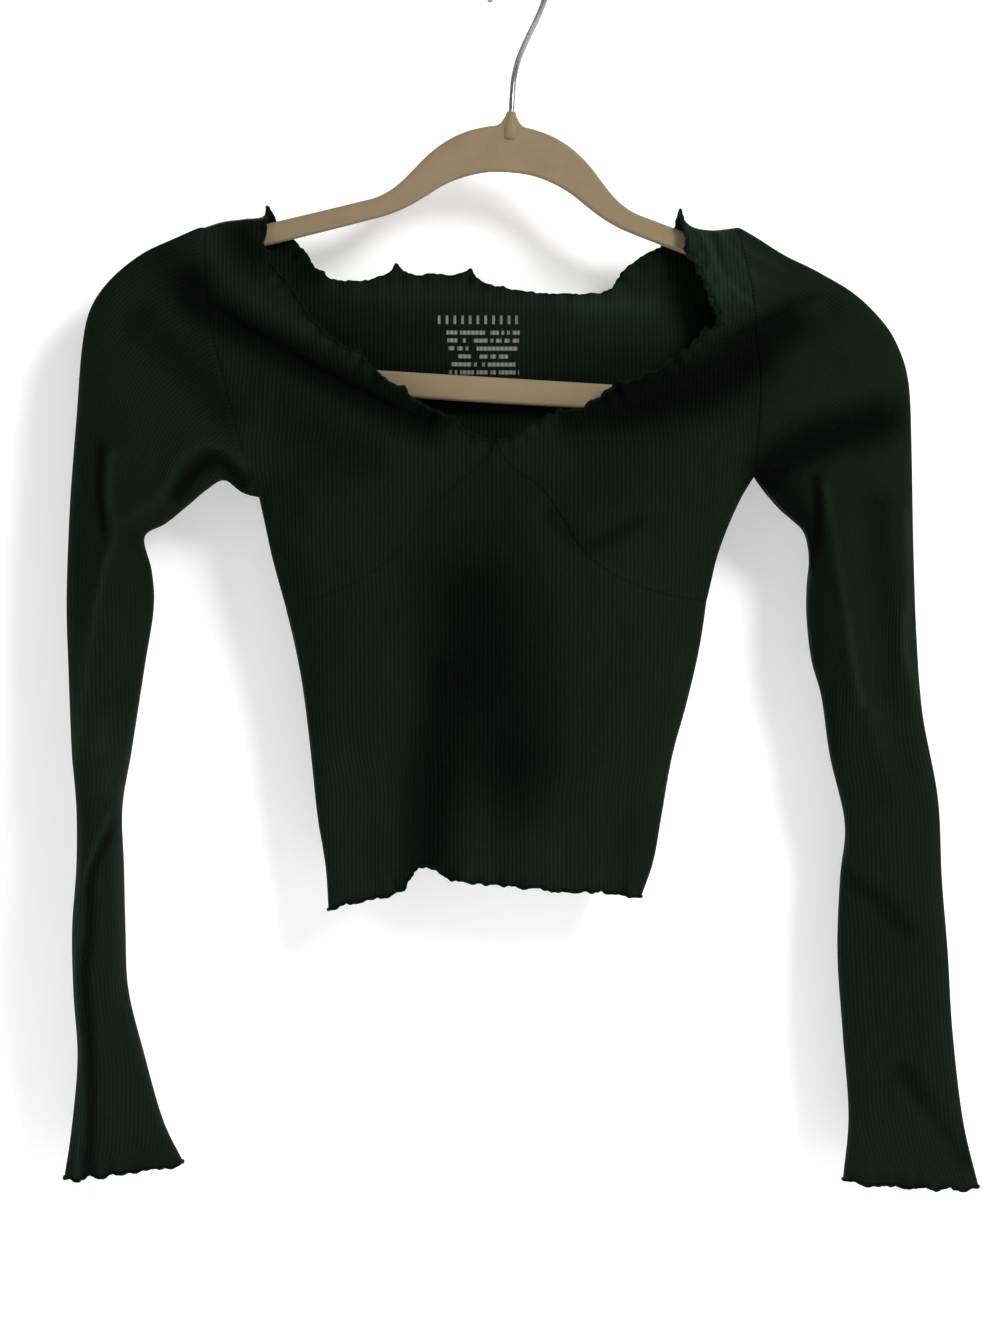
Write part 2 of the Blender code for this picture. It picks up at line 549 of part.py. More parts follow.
def main():
    for obj in list(bpy.data.objects):
        bpy.data.objects.remove(obj)
    green = (0.012, 0.022, 0.016)
    knit = {n: material("rib_knit_" + n, green, 0.85) for n in ("front", "bust_l", "bust_r", "back", "sleeve_l", "sleeve_r")}
    lower_front("front_lower", knit["front"])
    bust_panel("left", "front_bust_left", knit["bust_l"])
    bust_panel("right", "front_bust_right", knit["bust_r"])
    back_panel("back", knit["back"])
    sleeve("left", "sleeve_left", knit["sleeve_l"])
    sleeve("right", "sleeve_right", knit["sleeve_r"])
    hanger("hanger_body", material("flocking", (0.30, 0.22, 0.14), 0.9))
    hook("hanger_hook", material("hook_wire", (0.62, 0.62, 0.62), 0.25, 1.0))


main()
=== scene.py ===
"""Long-sleeved rib-knit crop top on a slim flocked hanger: the fine cloth, edges, finishes and studio.

Lengths in the tables are millimetres in the frame's own axes: X to the wearer's
left, Z up, the front facing -Y.  A cloth piece is a surface over the X-Z plane:
its edges are smooth curves through short tables, a blend of the four edges
fills it in, and a depth function gives Y.
"""

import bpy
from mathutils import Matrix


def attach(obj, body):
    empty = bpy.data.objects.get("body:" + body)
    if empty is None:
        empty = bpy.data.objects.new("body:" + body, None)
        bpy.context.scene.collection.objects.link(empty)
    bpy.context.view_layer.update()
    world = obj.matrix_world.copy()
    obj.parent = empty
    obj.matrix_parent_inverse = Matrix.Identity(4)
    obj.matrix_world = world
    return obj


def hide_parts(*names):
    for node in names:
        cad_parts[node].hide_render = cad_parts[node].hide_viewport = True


bl_info = {
    "name": "Crop top on a hanger",
    "version": (1, 0, 0),
    "blender": (4, 5, 0),
    "location": "View3D > Sidebar > Crop top",
    "description": "Fine surfaces, finishes and studio for a rib-knit crop top on a flocked hanger",
    "category": "Add Mesh",
}

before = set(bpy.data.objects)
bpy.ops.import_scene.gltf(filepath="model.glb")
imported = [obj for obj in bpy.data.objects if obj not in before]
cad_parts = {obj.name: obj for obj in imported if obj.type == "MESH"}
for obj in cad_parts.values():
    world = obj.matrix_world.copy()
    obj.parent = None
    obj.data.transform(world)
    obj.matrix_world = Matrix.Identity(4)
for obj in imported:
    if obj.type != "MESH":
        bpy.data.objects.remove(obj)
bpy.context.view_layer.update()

from math import cos, radians, sin, tau

import bpy
import numpy as np
from mathutils import Matrix, Vector

MM = 0.001
SEAM_GAP = 0.08  # between two panels
SHELL = 1.0  # wall of the cloth
SEAM_PULL, ARMHOLE_PULL = 0.12, 0.4  # how far stitching draws the cloth in

# ------------------------------------------------- cloth edges, mm (x, z)
SHOULDER_SEAM = {  # neck tip to the top of the armhole
    "left": ((86, -139), (88.4, -144.6), (94, -148.4), (103.4, -149.8), (110, -149.2), (115.6, -148.4)),
    "right": ((-136.6, -137.6), (-139.8, -142.4), (-149, -143.6), (-161, -145.2), (-171, -148.2)),
}
ARMHOLE = {  # top of the armhole to the underarm
    "left": ((115.6, -148.4), (120.5, -170), (125, -200), (127.6, -229.5), (126.6, -256), (125.8, -283)),
    "right": ((-171, -148.2), (-170.6, -170), (-168.6, -193), (-161.5, -222), (-152, -260), (-141.5, -294)),
}
SIDE_UPPER = {  # underarm to the end of the bust seam
    "left": ((125.8, -283), (119.6, -293), (112.6, -308), (106, -326), (100.2, -350)),
    "right": ((-141.5, -294), (-138, -310), (-134, -328), (-127.4, -352)),
}
SIDE_LOWER = {  # end of the bust seam to the hem
    "left": ((100.2, -350), (96, -377), (89.5, -405), (81.6, -434), (76, -465.5), (71.6, -490), (65, -509.5)),
    "right": (
        (-127.4, -352), (-122.6, -372), (-118, -396), (-114, -428), (-110, -465.5), (-105.6, -493), (-104, -516.5),
    ),
}
BUST_SEAM = {  # point of the lower front, at the neckline, to the side seam
    "left": ((-14, -265.4), (-6, -278.4), (11, -291), (22, -307), (34, -325), (54, -339), (78, -347), (100.2, -350)),
    "right": (
        (-14, -265.4), (-23, -278), (-42, -294), (-54, -308), (-70, -327), (-88, -340), (-108, -348), (-127.4, -352),
    ),
}
FRONT_NECK = {  # point of the lower front up to the neck tip
    "left": (
        (-14, -265.4), (-3, -262.6), (6, -256.4), (20, -250), (33, -247), (43, -240.6), (60, -232),
        (77, -223.6), (88, -216), (98, -208), (105.6, -202.6), (106, -196), (102.6, -187), (97, -176), (91, -162),
        (87, -149), (86, -139),
    ),
    "right": (
        (-14, -265.4), (-27, -261.6), (-39, -252.6), (-52, -246), (-63, -239.6), (-78, -228), (-90, -218.6),
        (-104, -208), (-115, -196), (-123, -182.6), (-133.6, -170), (-138.6, -160), (-137, -148), (-136.6, -137.6),
    ),
}
BACK_NECK = (  # wearer's right neck tip to the left one
    (-136.6, -137.6), (-130, -149), (-121, -157), (-116, -163), (-112, -169.6), (-104, -175.4), (-88, -176.8),
    (-70, -173.6), (-56, -173.8), (-34, -174.2), (-18, -178.4), (4, -182.6), (28, -183.8), (46, -182.6), (52, -178),
    (57, -171.6), (65, -164), (76, -158), (83, -149), (86, -139),
)
NECK_FLICKS = {  # place, height and width of the pointed flicks of the stretched edge
    "left": (
        (50, -232, 4.0, 3.0), (93, -160, 2.2, 2.6), (104, -186, 2.6, 2.6), (107, -199, 2.8, 2.2), (98, -208, 2.4, 2.6),
        (20, -251, 1.4, 3.0),
    ),
    "right": ((-85, -217, 4.2, 3.0), (-63, -238, 3.4, 2.4), (-142, -167, 2.0, 3.0), (-36, -253, 1.4, 3.0)),
    "back": (
        (-67, -173, 6.6, 2.8), (-28, -175, 6.0, 3.0), (-48, -174, 1.2, 4.0), (56, -174, 1.6, 4.0),
        (-108, -173, 1.6, 3.0),
    ),
}
HEM_FRONT = (
    (-104, -516.5), (-95, -513), (-80, -509.4), (-66, -505.6), (-60.4, -500), (-57, -494), (-49, -492.6),
    (-41, -497.4), (-28, -500.6), (-10, -502), (8, -503.6), (24, -505.8), (40, -505.4), (53, -507.6), (65, -509.5),
)
HEM_BACK = (
    (-104, -516.5), (-92, -508), (-77, -499.6), (-62, -491.4), (-49, -489.4), (-35, -493), (-16, -497.6),
    (8, -499.6), (30, -501.4), (48, -503), (65, -509.5),
)
# height, front, back: how far the cloth stands off the middle plane
BODY_DEPTH = (
    (-120, 5.4, 5.2), (-150, 6.4, 5.4), (-165, 9.0, 6.2), (-190, 13.0, 7.6), (-230, 17.0, 9.2),
    (-265, 18.6, 10.2), (-300, 19.0, 11.2), (-350, 18.2, 12.0), (-420, 15.6, 12.6), (-470, 14.0, 12.8),
    (-530, 13.2, 12.6),
)
SHOULDER_ROUND, SIDE_ROUND = 5.0, 52.0
# creases that both bend the cloth and carry painted light and shade in its colour
SIDE_RIDGE_RIGHT = ((-211, -307), (-191, -292), (-180, -272), (-165, -268), (-148, -279))
UNDERARM_TUCK = ((-184, -292), (-175, -280), (-162, -275), (-150, -287))
UPPER_ARM_RIDGE = ((-218, -272), (-220, -295), (-216, -312), (-221, -330), (-229, -367), (-234, -403), (-238, -436))
FOREARM_TUCK = ((172, -498), (188, -508), (206, -526))
CUFF_TUCK = ((204, -602), (222, -626), (238, -652))
BUST_DIMPLE = ((16, -304), (34, -321), (62, -308))
INNER_ARM_TUCK = ((157, -284), (159, -307), (157, -332))
INNER_ARM_RIDGE = ((162, -290), (165, -306), (171, -341), (177, -382), (181, -405))
BACK_HOLLOW = ((-30, -330), (-24, -390), (-30, -440))
BACK_RIDGE = ((34, -400), (36, -450), (34, -510))
BACK_ARM_RIGHT = ((-210, -230), (-186, -250), (-164, -280))
BACK_ARM_LEFT = ((184, -230), (160, -256), (140, -292))
# path of a crease, its half width, and how far it stands out (ridge) or in (trough)
FRONT_FOLDS = (
    (((-178, -177), (-172, -190), (-151, -203), (-125, -218), (-103, -229), (-80, -241), (-50, -254)), 8.5, -6.4),
    (((-150, -160), (-150, -178), (-128, -196), (-104, -212), (-84, -226)), 9.0, 2.6),
    (((28, -250), (57, -242), (86, -232), (109, -224), (126, -211), (143, -199), (161, -192)), 12.0, -8.0),
    (((104, -160), (114, -178), (132, -188)), 13.0, 4.0),
    (((-205, -200), (-188, -217), (-170, -235), (-158, -248)), 9.0, -3.6),
    (SIDE_RIDGE_RIGHT, 5.0, 2.4),
    (UNDERARM_TUCK, 4.5, -4.2),
    (((-222, -232), (-196, -252), (-176, -258)), 9.0, 2.4),
    (((132, -279), (145, -270), (160, -263), (180, -257), (198, -252)), 9.0, -7.4),
    (((136, -250), (160, -240), (192, -226)), 10.0, 3.0),
    (((-44, -352), (-48, -396), (-46, -440)), 22.0, -6.0),
    (((18, -380), (20, -430), (16, -470)), 22.0, 3.4),
    (((-76, -432), (-74, -480), (-72, -512)), 11.0, 3.6),
    (((-49, -446), (-48, -480), (-47, -505)), 9.5, -4.6),
    (((-16, -452), (-16, -508)), 6.5, -2.4),
    (((2, -446), (3, -510)), 7.0, 2.2),
    (((21, -456), (22, -510)), 6.0, -2.6),
    (((38, -440), (40, -510)), 6.5, 2.0),
    (((54, -450), (53, -510)), 5.5, -2.0),
    (BUST_DIMPLE, 6.0, -2.0),
    (UPPER_ARM_RIDGE, 4.4, 3.0),
    (((-208, -318), (-206, -352), (-212, -392), (-222, -430)), 7.0, -3.6),
    (((162, -292), (172, -341), (178, -382), (188, -424), (200, -455)), 6.0, 3.0),
    (((190, -300), (194, -350), (197, -400), (206, -440)), 7.0, -3.2),
    (((206, -300), (208, -341), (205, -373), (213, -401)), 4.0, 2.4),
    (FOREARM_TUCK, 7.0, -4.0),
    (((176, -480), (198, -490)), 8.0, 2.6),
    (CUFF_TUCK, 7.0, -3.8),
    (((-232, -470), (-236, -520), (-234, -580)), 5.0, 1.6),
    (((-214, -560), (-214, -610), (-206, -650)), 7.0, -3.0),
)
BACK_FOLDS = (
    (((-120, -196), (-84, -210), (-44, -216)), 13.0, -2.4),
    (((28, -208), (66, -214), (104, -200)), 13.0, -2.4),
    (((-146, -280), (-120, -262), (-98, -236)), 12.0, -2.6),
    (((124, -272), (104, -250), (84, -236)), 12.0, -2.4),
    (BACK_HOLLOW, 22.0, -3.0),
    (BACK_RIDGE, 12.0, 2.2),
    (((-62, -430), (-66, -470), (-66, -512)), 11.0, -3.0),
    (((8, -440), (8, -510)), 8.0, -2.2),
    (BACK_ARM_RIGHT, 10.0, -2.6),
    (BACK_ARM_LEFT, 10.0, -3.0),
    (((-232, -330), (-230, -372), (-226, -420)), 7.0, 2.4),
    (((184, -340), (190, -390), (200, -440)), 8.0, 2.4),
    (((176, -500), (200, -512)), 8.0, -3.0),
)
# Creases too fine for the solids, same columns.
FRONT_CREASES = (
    (((-128, -362), (-112, -352), (-92, -350)), 5.0, -0.9),
    (((-112, -300), (-96, -318), (-88, -340)), 8.0, 0.9),
    (((40, -300), (58, -312), (72, -332)), 9.0, 1.0),
    (((-117, -254), (-100, -265), (-80, -272)), 7.0, -1.6),
    (((54, -262), (86, -258), (112, -248)), 8.0, 1.4),
    (((-236, -232), (-233, -262), (-240, -300)), 5.0, 1.4),
    (((-226, -268), (-226, -290), (-224, -312)), 2.6, -2.2),
    (INNER_ARM_TUCK, 2.4, -2.6),
    (INNER_ARM_RIDGE, 3.0, 1.6),
    (((96, -152), (101, -164), (99, -178)), 2.6, 1.3),
    (((106, -153), (110, -170), (122, -184)), 2.8, 1.1),
    (((103, -156), (106, -172), (112, -188)), 2.2, -1.0),
    (((-226, -232), (-206, -214), (-196, -196)), 7.0, 1.2),
    (((178, -206), (192, -216), (202, -236)), 7.0, -1.2),
    (((212, -260), (204, -280), (200, -300)), 4.5, 1.0),
    (((176, -560), (186, -600), (184, -650)), 6.0, 1.2),
    (((212, -540), (210, -590), (202, -640)), 7.0, -1.2),
    (((-222, -326), (-214, -318), (-204, -322)), 2.6, 1.4),
    (((-40, -300), (-52, -330), (-60, -356)), 9.0, 1.0),
    (((60, -372), (52, -400), (54, -430)), 10.0, 1.0),
    (((-96, -392), (-92, -420), (-94, -450)), 8.0, -0.9),
)
# Overlaps: walking the path, the cloth on the right-hand side stands over the rest,
# by a height, fading back over a width.
FRONT_LAPS = (
    (((-63, -440), (-61, -480), (-60, -540)), 4.0, 16.0),
    (((172, -182), (150, -189), (130, -199), (114, -208), (104, -213), (94, -218)), 6.5, 20.0),
    (((-40, -258), (-62, -248), (-84, -237), (-108, -224), (-130, -211), (-154, -197), (-172, -180)), 4.0, 15.0),
    (((126, -274), (150, -262), (176, -252), (204, -244)), 3.0, 14.0),
    (((152, -268), (156, -288), (157, -310), (155, -345)), -2.4, 9.0),
)
# Painted light and shade in the cloth's colour by place: paler (+) is a painted highlight on lit ridges and folds,
# deeper (-) is painted shade in creases and painted shadow under overhanging folds.
FRONT_SHADE = (
    (((-26, -350), (-18, -384), (-10, -410), (-8, -430)), 28.0, -1.25),
    (((-38, -392), (-46, -430), (-50, -462), (-50, -492)), 13.0, -1.3),
    (((2, -436), (6, -462)), 13.0, -0.35),
    (((-14, -290), (-16, -330), (-18, -370)), 30.0, -0.28),
    (((-178, -180), (-170, -192), (-151, -203), (-125, -217), (-103, -229), (-80, -241), (-50, -254)), 8.5, -2.1),
    (((-190, -166), (-184, -176), (-176, -188)), 9.0, -0.7),
    (((28, -250), (57, -242), (86, -233), (109, -225), (126, -211), (143, -200)), 10.0, -1.6),
    (((58, -244), (84, -240), (100, -236), (122, -222)), 14.0, -1.7),
    (((132, -281), (145, -271), (160, -263), (180, -257), (192, -253)), 9.5, -2.1),
    (((136, -288), (146, -300), (152, -316)), 9.0, -1.5),
    (((-205, -200), (-188, -217), (-170, -235), (-160, -247)), 8.0, -0.5),
    (UNDERARM_TUCK, 4.5, -1.3),
    (((-150, -152), (-144, -166)), 8.0, -1.2),
    (((-117, -256), (-100, -266), (-86, -272)), 9.0, -0.45),
    (((-125, -250), (-96, -280)), 26.0, -0.22),
    (((64, -262), (50, -280)), 30.0, -0.28),
    (INNER_ARM_TUCK, 2.2, -1.0),
    (((-225, -268), (-226, -290), (-224, -312)), 2.4, -0.9),
    (((-214, -464), (-228, -496), (-229, -524), (-232, -548), (-230, -590), (-230, -624), (-233, -664)), 2.6, -1.1),
    (((-220, -466), (-233, -500), (-234, -524), (-238, -550), (-236, -590), (-236, -626), (-238, -660)), 2.2, 0.55),
    (((92, -150), (98, -170), (108, -186)), 12.0, 0.75),
    (((112, -152), (122, -176), (134, -192)), 12.0, 0.35),
    (((-168, -152), (-150, -184), (-118, -206), (-88, -224)), 7.0, 0.3),
    (INNER_ARM_RIDGE, 2.6, 0.65),
    (((178, -300), (184, -350), (192, -410)), 7.0, 0.2),
    (((96, -152), (104, -166), (112, -182), (126, -194)), 2.0, 0.4),
    (((106, -150), (112, -160), (124, -176)), 1.8, 0.35),
    (((108, -146), (120, -160), (140, -172)), 2.2, 0.3),
    (((206, -304), (208, -341), (205, -373), (213, -401)), 2.6, 0.6),
    (UPPER_ARM_RIDGE, 2.4, 0.6),
    (SIDE_RIDGE_RIGHT, 3.6, 0.4),
    (FOREARM_TUCK, 5.0, -0.5),
    (CUFF_TUCK, 5.0, -0.45),
    (BUST_DIMPLE, 4.0, -0.4),
    (((188, -300), (192, -350), (196, -400)), 8.0, -0.35),
    (((160, -330), (163, -380), (170, -430)), 6.0, -0.3),
    (((200, -540), (206, -600)), 24.0, -0.25),
    (((-222, -420), (-222, -448)), 12.0, 0.35),
    (((-232, -300), (-236, -360)), 8.0, -0.2),
    (((-92, -440), (-88, -500)), 20.0, 0.30),
    (((20, -470), (24, -500)), 24.0, 0.15),
    (((66, -320), (82, -380), (70, -440)), 20.0, 0.12),
)
# Painted light and shade on the back, on both faces: paler painted light along the top of the neck, deeper painted
# shade in the hollows and painted shadow where the straps shade the inside.
BACK_SHADE = (
    (((-120, -196), (-84, -206), (-44, -210)), 11.0, -0.3),
    (((-100, -180), (-20, -185), (70, -190)), 6.0, 0.35),
    (((40, -190), (80, -192)), 16.0, 0.4),
    (((-138, -144), (-122, -158), (-114, -171)), 9.0, -0.9),
    (((64, -158), (84, -162), (94, -184), (104, -204)), 9.0, -0.8),
    (((-70, -224), (-14, -236), (44, -230)), 26.0, -0.25),
    (BACK_HOLLOW, 22.0, -0.4),
    (BACK_ARM_RIGHT, 9.0, -0.5),
    (BACK_ARM_LEFT, 9.0, -0.5),
    (BACK_RIDGE, 11.0, 0.25),
)
SLEEVE = {  # outer edge x z, inner edge x z, depth in front and behind, fullness
    "right": (
        (-171, -148.2, -141.5, -294, 12, 9, 0.5),
        (-186, -154.8, -150.5, -291.4, 12, 9, 0.5),
        (-204, -163.2, -160.6, -284.6, 12, 10, 0.5),
        (-221, -176.8, -170, -289.6, 13, 11, 0.5),
        (-232, -192.6, -181, -299, 14, 12, 0.55),
        (-236.6, -213, -192, -308, 15, 13, 0.6),
        (-239, -244, -203.6, -315.6, 16, 14, 0.65),
        (-243, -296, -199.6, -334, 17, 15, 0.7),
        (-245, -348, -198.6, -354, 18, 16, 0.75),
        (-244, -388, -203.6, -386, 18, 18, 0.8),
        (-242.2, -430, -210.6, -430, 18, 22, 0.8),
        (-239.4, -462, -216, -462, 21, 24, 0.8),
        (-239.2, -494, -215, -494, 23, 23, 0.85),
        (-241.6, -526, -214, -528, 22, 22, 0.9),
        (-241, -560, -212.4, -560, 20, 20, 0.9),
        (-239, -596, -204, -594, 17, 17, 0.85),
        (-242.4, -634, -193.6, -630, 13, 14, 0.8),
        (-246.4, -661, -182.6, -653, 11, 12, 0.75),
    ),
    "left": (
        (115.6, -148.4, 125.8, -283, 12, 9, 0.5),
        (127, -155, 132.4, -291.6, 12, 9, 0.5),
        (142, -164.4, 139.6, -299.8, 12, 10, 0.5),
        (160, -173, 146.6, -306, 13, 10, 0.5),
        (178, -183.4, 152.4, -311.8, 14, 11, 0.5),
        (192, -196, 155, -320, 15, 12, 0.55),
        (202, -210, 155.6, -330, 15, 13, 0.6),
        (209, -232, 154.4, -343, 15, 14, 0.65),
        (210.8, -272, 154.4, -360, 14, 14, 0.7),
        (211.6, -318, 157, -382, 14, 14, 0.7),
        (213.4, -368, 162.4, -402, 13, 14, 0.75),
        (216.6, -410, 167, -434, 13, 14, 0.75),
        (225, -456, 175, -470, 12, 14, 0.75),
        (227.2, -500, 172.4, -500, 12, 13, 0.75),
        (230.4, -540, 171, -540, 12, 13, 0.75),
        (233, -583, 173.8, -583, 12, 13, 0.75),
        (238.6, -630, 177, -628, 12, 13, 0.75),
        (247, -666, 174, -662, 13, 14, 0.75),
    ),
}
SLEEVE_LAPS = {
    "right": ((
        ((-214, -452), (-217.2, -463), (-223.3, -476), (-231.1, -495.4), (-232.5, -509), (-232.2, -523), (-235.9, -548),
         (-233.9, -576), (-232.8, -590), (-233.1, -624), (-236, -656), (-238, -720)), 5.5, 12.0),),
    "left": (),
}
HANGER_OUTLINE = (
    (0, -88.4), (3.2, -88.8), (4.6, -91.4), (7.4, -93.8), (13, -94.9), (22, -97.6), (31, -102), (38.5, -107.4),
    (45, -113.6), (51, -120.6), (57, -127.4), (63, -132.6), (70, -136.6), (80, -139.9), (110, -149.1),
    (140, -158.2), (170, -167.4), (182, -171.8), (192, -177.8), (200.5, -185.2),
    (207.8, -194.6), (212.6, -204.4), (214.6, -214), (213.4, -225.5), (208, -235.4),
    (198.5, -241.6), (186, -243.5), (140, -243.5), (90, -243.5), (45, -243.5), (0, -243.5),
)
HANGER_HOLE = (
    (0, -118.4), (10, -119), (19, -121), (28, -124.4), (36, -128.8), (43, -133.8), (51, -139.2), (60, -144),
    (70, -147.8), (110, -160.6), (140, -170), (170, -179.2), (181, -183.2), (190, -188.6), (197, -195.8),
    (201.4, -204.6), (202.6, -213.4), (200.8, -221.6), (195.4, -227.6), (187, -229.7), (140, -229.7),
    (90, -229.7), (45, -229.7), (0, -229.7),
)
HOOK_STEM = ((0, -94), (0, -84), (0, -74), (0.6, -66), (3, -57), (8.2, -46.5), (14.2, -36), (18.2, -26.5))
HANGER_TILT, HANGER_THICK, HANGER_ROUND = 3.5, 5.5, 1.8
WIRE, HOOK_RADIUS, HOOK_SWIVEL = 3.2, 20.0, 38.0


# ------------------------------------------------------------ curve helpers
def smooth_path(points, count=16):
    """Catmull-Rom curve: each span is the cubic that leaves its two points along their neighbours' chords."""
    p = np.asarray(points, float)
    p = np.vstack([2 * p[0] - p[1], p, 2 * p[-1] - p[-2]])
    t = np.linspace(0, 1, count, endpoint=False)[:, None]
    spans = [
        0.5 * (2 * b + (c - a) * t + (2 * a - 5 * b + 4 * c - d) * t**2 + (3 * b - a - 3 * c + d) * t**3)
        for a, b, c, d in zip(p, p[1:], p[2:], p[3:])
    ]
    return np.vstack(spans + [p[-2][None]])


def run_of(path):
    """Length along a polyline at each of its points."""
    return np.concatenate([[0], np.cumsum(np.linalg.norm(np.diff(path, axis=0), axis=1))])


def along(points, shares):
    """Places on the smooth curve through the points, at shares of its length."""
    path = smooth_path(points)
    run = run_of(path)
    at = np.asarray(shares, float) * run[-1]
    return np.stack([np.interp(at, run, path[:, k]) for k in range(path.shape[1])], axis=-1)


def steps(n):
    return np.linspace(0, 1, n + 1)


def eased(n, pull=0.55):
    """Shares from 0 to 1 that crowd towards both ends: a blend of a straight line and a half cosine."""
    t = steps(n)
    return (1 - pull) * t + pull * (0.5 - 0.5 * np.cos(np.pi * t))


def nearest(xz, points):
    """For each place: distance from a polyline, which side of it (+1 left), and how far along it."""
    p = np.asarray(points, float)
    best = np.full(xz.shape[:-1], np.inf)
    side, where = np.ones_like(best), np.zeros_like(best)
    start = 0.0
    for a, b in zip(p, p[1:]):
        ab = b - a
        length = np.hypot(*ab)
        rel = xz - a
        share = np.clip((rel @ ab) / length**2, 0, 1)
        gap = rel - share[..., None] * ab
        d = np.hypot(gap[..., 0], gap[..., 1])
        near = d < best
        best = np.where(near, d, best)
        side = np.where(near, np.sign(ab[0] * rel[..., 1] - ab[1] * rel[..., 0]), side)
        where = np.where(near, start + share * length, where)
        start += length
    return best, side, where, start


def distance(xz, points):
    return nearest(xz, points)[0]


def nearer(xz, lines):
    """Distance from the nearer of the left and right lines."""
    return np.minimum(*(distance(xz, line) for line in lines.values()))


def coons(bottom, top, start, end, v=None, u=None):
    """Grid filled in between four edges: the two ruled surfaces added, less the one through the corners."""
    v = (steps(len(start) - 1) if v is None else v)[:, None, None]
    u = (steps(len(bottom) - 1) if u is None else u)[None, :, None]
    ruled = (1 - v) * bottom[None] + v * top[None] + (1 - u) * start[:, None] + u * end[:, None]
    corner = (1 - v) * ((1 - u) * bottom[0] + u * bottom[-1]) + v * ((1 - u) * top[0] + u * top[-1])
    return ruled - corner


# ------------------------------------------------------------ depth of cloth
SHOULDER_LINES = {s: smooth_path(SHOULDER_SEAM[s], 4) for s in SHOULDER_SEAM}
SIDE_LINES = {s: smooth_path(SIDE_UPPER[s] + SIDE_LOWER[s][1:], 3) for s in SIDE_UPPER}
NECK_FRONT_LINE = np.vstack([smooth_path(FRONT_NECK["right"], 4)[::-1], smooth_path(FRONT_NECK["left"], 4)[1:]])
NECK_BACK_LINE = smooth_path(BACK_NECK, 4)
HEM_LINES = {"front": smooth_path(HEM_FRONT, 3), "back": smooth_path(HEM_BACK, 3)}


def rounding(d, radius):
    """A quarter ellipse: 0 at an edge, 1 at the radius and beyond."""
    return np.sqrt(1 - (1 - np.clip(d / radius, 0, 1)) ** 2)


def folds(xz, table):
    """Sum of the soft creases: each a bell across its path, fading past its ends."""
    total = np.zeros(xz.shape[:-1])
    for path, half_width, height in table:
        total += height * np.exp(-((distance(xz, smooth_path(path, 4)) / half_width) ** 2))
    return total


def laps(xz, table):
    """Overlapping folds: a steep step across the path that fades back behind it and towards its ends;
    the high side is on the right of the path."""
    total = np.zeros(xz.shape[:-1])
    for path, height, width in table:
        d, side, where, length = nearest(xz, smooth_path(path, 4))
        q = -d * side
        step = 1 / (1 + np.exp(-np.clip(q / 0.55, -30, 30)))
        ends = np.clip(np.minimum(where, length - where) / (0.22 * length), 0, 1)
        total += height * step * np.exp(-np.maximum(q, 0) / width) * ends * ends * (3 - 2 * ends)
    return total


def ripple(s, pitch, seed):
    """Uneven wave along an edge: a sine whose pitch and height wander slowly."""
    drift = 1.5 * np.sin(tau * s / (4.7 * pitch) + seed) + 0.9 * np.sin(tau * s / (9.3 * pitch) + 2.1 * seed)
    height = 0.72 + 0.28 * np.sin(tau * s / (3.3 * pitch) + 1.3 * seed)
    return height * np.sin(tau * s / pitch + drift)


def flutter(xz, line, pitch, height, reach, seed):
    """Ruffle of a stretched edge: the wave dies away over its reach in from the edge."""
    d, _, where, _ = nearest(xz, line)
    return height * ripple(where, pitch, seed) * np.exp(-((d / reach) ** 1.4))


def soft_floor(value, low, blend=1.2):
    """Greater of two values with the corner between them rounded off."""
    return 0.5 * (value + low + np.sqrt((value - low) ** 2 + blend**2))


def body_depth(xz, side):
    """How far the body's outer face stands off the middle plane, front or back."""
    rows = np.asarray(BODY_DEPTH)[::-1]
    depth = np.interp(xz[..., 1], rows[:, 0], rows[:, 1 if side == "front" else 2])
    if side == "front":
        depth = depth + folds(xz, FRONT_FOLDS) + folds(xz, FRONT_CREASES) + laps(xz, FRONT_LAPS)
    else:
        depth = depth + folds(xz, BACK_FOLDS)
    depth = soft_floor(depth, 5.0)
    shape = rounding(nearer(xz, SHOULDER_LINES), SHOULDER_ROUND) * rounding(nearer(xz, SIDE_LINES), SIDE_ROUND)
    return SEAM_GAP / 2 + (depth - SEAM_GAP / 2) * shape


def shade_of(xz, side):
    """Painted light and shade in the dye at each place, from the two tables."""
    return folds(xz, FRONT_SHADE if side == "front" else BACK_SHADE)


def edge_ruffles(xz, side):
    """Flutter of the neckline and the hem, outwards."""
    neck = NECK_FRONT_LINE if side == "front" else NECK_BACK_LINE
    seed = 0.4 if side == "front" else 2.2
    curl = 1.6 * np.exp(-((distance(xz, neck) / 2.6) ** 2)) if side == "front" else 0.0
    return curl + flutter(xz, neck, 11.0, 2.1, 6.0, seed) + flutter(xz, HEM_LINES[side], 13.0, 1.9, 7.0, seed + 1)


def seam_groove(xz, lines):
    """Stitching pulls the cloth in beside a seam; every line comes with how far."""
    pulls = [deep * np.exp(-((distance(xz, line) / 1.3) ** 2)) for line, deep in lines]
    return -np.maximum.reduce(pulls)


def rib_run(xz, side):
    """Distance round the body from its middle, measured over the cloth, so that ribs keep their pitch."""
    dx, dz, middle = 2.0, 8.0, -20.0
    x = np.arange(-180.0, 140.0, dx)
    z = np.arange(-530.0, -130.0, dz)
    place = np.stack(np.meshgrid(x, z), -1)
    y = body_depth(place, side)
    run = np.concatenate([np.zeros((len(z), 1)), np.cumsum(np.hypot(dx, np.diff(y, axis=1)), axis=1)], axis=1)
    run -= run[:, [int((middle - x[0]) / dx)]]
    fx = np.clip((xz[..., 0] - x[0]) / dx, 0, len(x) - 1.001)
    fz = np.clip((xz[..., 1] - z[0]) / dz, 0, len(z) - 1.001)
    i, j = fx.astype(int), fz.astype(int)
    a, b = fx - i, fz - j
    return (run[j, i] * (1 - a) + run[j, i + 1] * a) * (1 - b) + (run[j + 1, i] * (1 - a) + run[j + 1, i + 1] * a) * b


